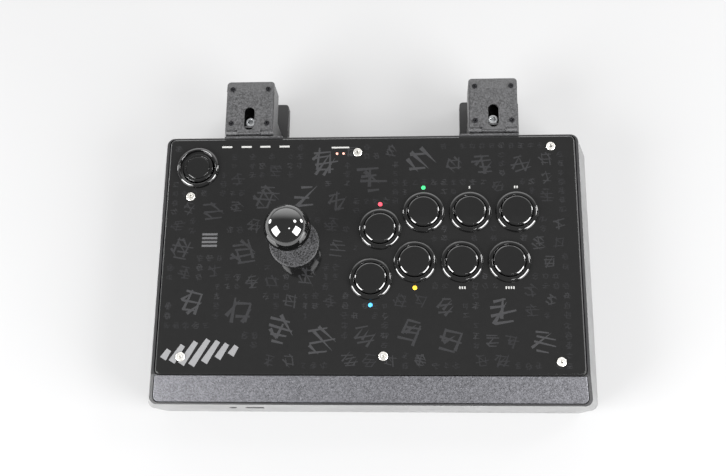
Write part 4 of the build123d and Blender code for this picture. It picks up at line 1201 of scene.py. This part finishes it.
# ------------------------------------------------------------------ studio
@dataclass
class Studio:
    """Pale floor, softboxes, small lamps, bright surroundings and the camera."""

    camera_place: Way = (0.04082, -0.21515, 0.77871)
    right: Way = (0.99814, 0.01213, -0.05971)
    up: Way = (0.0052, 0.95943, 0.28191)
    back: Way = (0.06071, -0.2817, 0.95758)
    lens_mm: float = 48.0
    target: Way = (-0.03, 0.0, 0.08)
    left_way: Way = (-0.754, -0.416, 0.509)
    right_way: Way = (0.792, -0.408, 0.455)
    lamp_ways: tuple[Way, ...] = (
        (-0.942, 0.32, 0.102),
        (0.65, 0.29, 0.702),
        (0.905, 0.398, 0.153),
        (0.279, -0.339, 0.899),
    )
    reach: float = 1.5
    softbox_radiance: float = 33.0
    softbox_side: float = 0.92
    lamp_radiance: float = 26.0
    lamp_radius: float = 0.18
    rear_radiance: float = 5.0
    floor_glow: float = 0.42
    far_glow: float = 0.85

    def build(self) -> None:
        """Sets up everything that isn't part of the object."""
        self.floor()
        self.surroundings()
        for name, way in (("left", self.left_way), ("right", self.right_way)):
            self.light(f"softbox_{name}", way, self.softbox_side, self.softbox_radiance, "SQUARE")
        for number, way in enumerate(self.lamp_ways, start=1):
            size = 2 * self.lamp_radius if number < 4 else self.lamp_radius
            self.light(f"lamp_{number}", way, size, self.lamp_radiance, "DISK")
        self.camera()
        bpy.context.scene.view_settings.view_transform = "Standard"
        bpy.context.scene.view_settings.look = "None"

    def light(self, name: str, way: Sequence[float], size: float, radiance: float, shape: str) -> None:
        """Adds an area light in a direction from the object, facing it.

        Args:
            name: The light's name.
            way: Direction from the object.
            size: Side or diameter.
            radiance: Brightness of its face.
            shape: SQUARE or DISK.
        """
        data = bpy.data.lights.new(name, "AREA")
        data.shape = shape
        data.size = size
        area = size * size if shape == "SQUARE" else math.pi * size * size / 4
        data.energy = radiance * math.pi * area
        lamp = bpy.data.objects.new(name, data)
        bpy.context.scene.collection.objects.link(lamp)
        direction = Vector(way).normalized()
        lamp.matrix_world = (
            Matrix.Translation(Vector(self.target) + direction * self.reach)
            @ direction.to_track_quat("Z", "Y").to_matrix().to_4x4()
        )

    def floor(self) -> None:
        """Lays a pale floor that glows more with distance, so that it stays even as the lamps fall off."""
        mesh = bmesh.new()
        bmesh.ops.create_grid(mesh, x_segments=1, y_segments=1, size=6.0)
        data = bpy.data.meshes.new("floor")
        mesh.to_mesh(data)
        mesh.free()
        floor = bpy.data.objects.new("floor", data)
        bpy.context.scene.collection.objects.link(floor)
        material = bpy.data.materials.new("pale_floor")
        material.use_nodes = True
        tree = material.node_tree
        tree.nodes.clear()
        path = add_node(tree, "ShaderNodeLightPath")
        bright = add_node(tree, "ShaderNodeBsdfDiffuse", {"Color": (0.45, 0.45, 0.45, 1.0)})
        lit = add_node(tree, "ShaderNodeBsdfDiffuse", {"Color": (0.115, 0.115, 0.116, 1.0)})
        place = add_node(tree, "ShaderNodeTexCoord")
        distance = add_node(tree, "ShaderNodeVectorMath", {0: place.outputs["Object"]}, operation="LENGTH")
        rise = add_node(
            tree,
            "ShaderNodeMapRange",
            {
                "Value": distance.outputs["Value"],
                "From Min": 0.5,
                "From Max": 2.5,
                "To Min": self.floor_glow,
                "To Max": self.far_glow,
            },
            interpolation_type="SMOOTHSTEP",
        )
        glow = add_node(
            tree, "ShaderNodeEmission", {"Color": (1.0, 1.0, 1.0, 1.0), "Strength": rise.outputs[0]}
        )
        seen = add_node(tree, "ShaderNodeAddShader", {0: lit.outputs[0], 1: glow.outputs[0]})
        mix = add_node(
            tree,
            "ShaderNodeMixShader",
            {0: path.outputs["Is Camera Ray"], 1: bright.outputs[0], 2: seen.outputs[0]},
        )
        add_node(tree, "ShaderNodeOutputMaterial", {"Surface": mix.outputs[0]})
        data.materials.append(material)

    def surroundings(self) -> None:
        """Makes the surroundings dim above and bright low at the rear, as a white sweep behind gives."""
        world = bpy.data.worlds.new("surroundings")
        world.use_nodes = True
        tree = world.node_tree
        tree.nodes.clear()
        way = add_node(tree, "ShaderNodeTexCoord")
        parts = add_node(tree, "ShaderNodeSeparateXYZ", {0: way.outputs["Generated"]})
        rear = add_node(
            tree,
            "ShaderNodeMapRange",
            {
                "Value": parts.outputs[1],
                "From Min": 0.35,
                "From Max": 1.0,
                "To Min": 0.6,
                "To Max": self.rear_radiance,
            },
            interpolation_type="SMOOTHSTEP",
        )
        path = add_node(tree, "ShaderNodeLightPath")
        mix = add_node(tree, "ShaderNodeMix", {0: path.outputs["Is Camera Ray"], 2: rear.outputs[0], 3: 0.93})
        shine = add_node(tree, "ShaderNodeBackground", {"Strength": mix.outputs[0]})
        add_node(tree, "ShaderNodeOutputWorld", {0: shine.outputs[0]})
        bpy.context.scene.world = world

    def camera(self) -> None:
        """Places the camera above the player's edge, looking down on the panel."""
        data = bpy.data.cameras.new("camera")
        data.sensor_width = 36.0
        data.lens = self.lens_mm
        camera = bpy.data.objects.new("camera", data)
        bpy.context.scene.collection.objects.link(camera)
        turn = Matrix((self.right, self.up, self.back)).transposed().to_4x4()
        camera.matrix_world = Matrix.Translation(self.camera_place) @ turn
        bpy.context.scene.camera = camera


def main() -> None:
    """Builds everything in order."""
    logging.basicConfig(level=logging.INFO, format="%(name)s: %(message)s")
    builders: Iterable[tuple[str, Callable[[], None]]] = (
        ("case", Case().build),
        ("panel", Panel().build),
        ("buttons", Buttons().build),
        ("stick", Stick().build),
        ("left clamp", Clamp(Side.LEFT).build),
        ("right clamp", Clamp(Side.RIGHT).build),
        ("studio", Studio().build),
    )
    for name, build in builders:
        LOG.info("building %s", name)
        build()
    for node in HIDDEN_NODES:
        dress_node(node)
    bpy.context.view_layer.update()


if __name__ == "__main__":
    main()
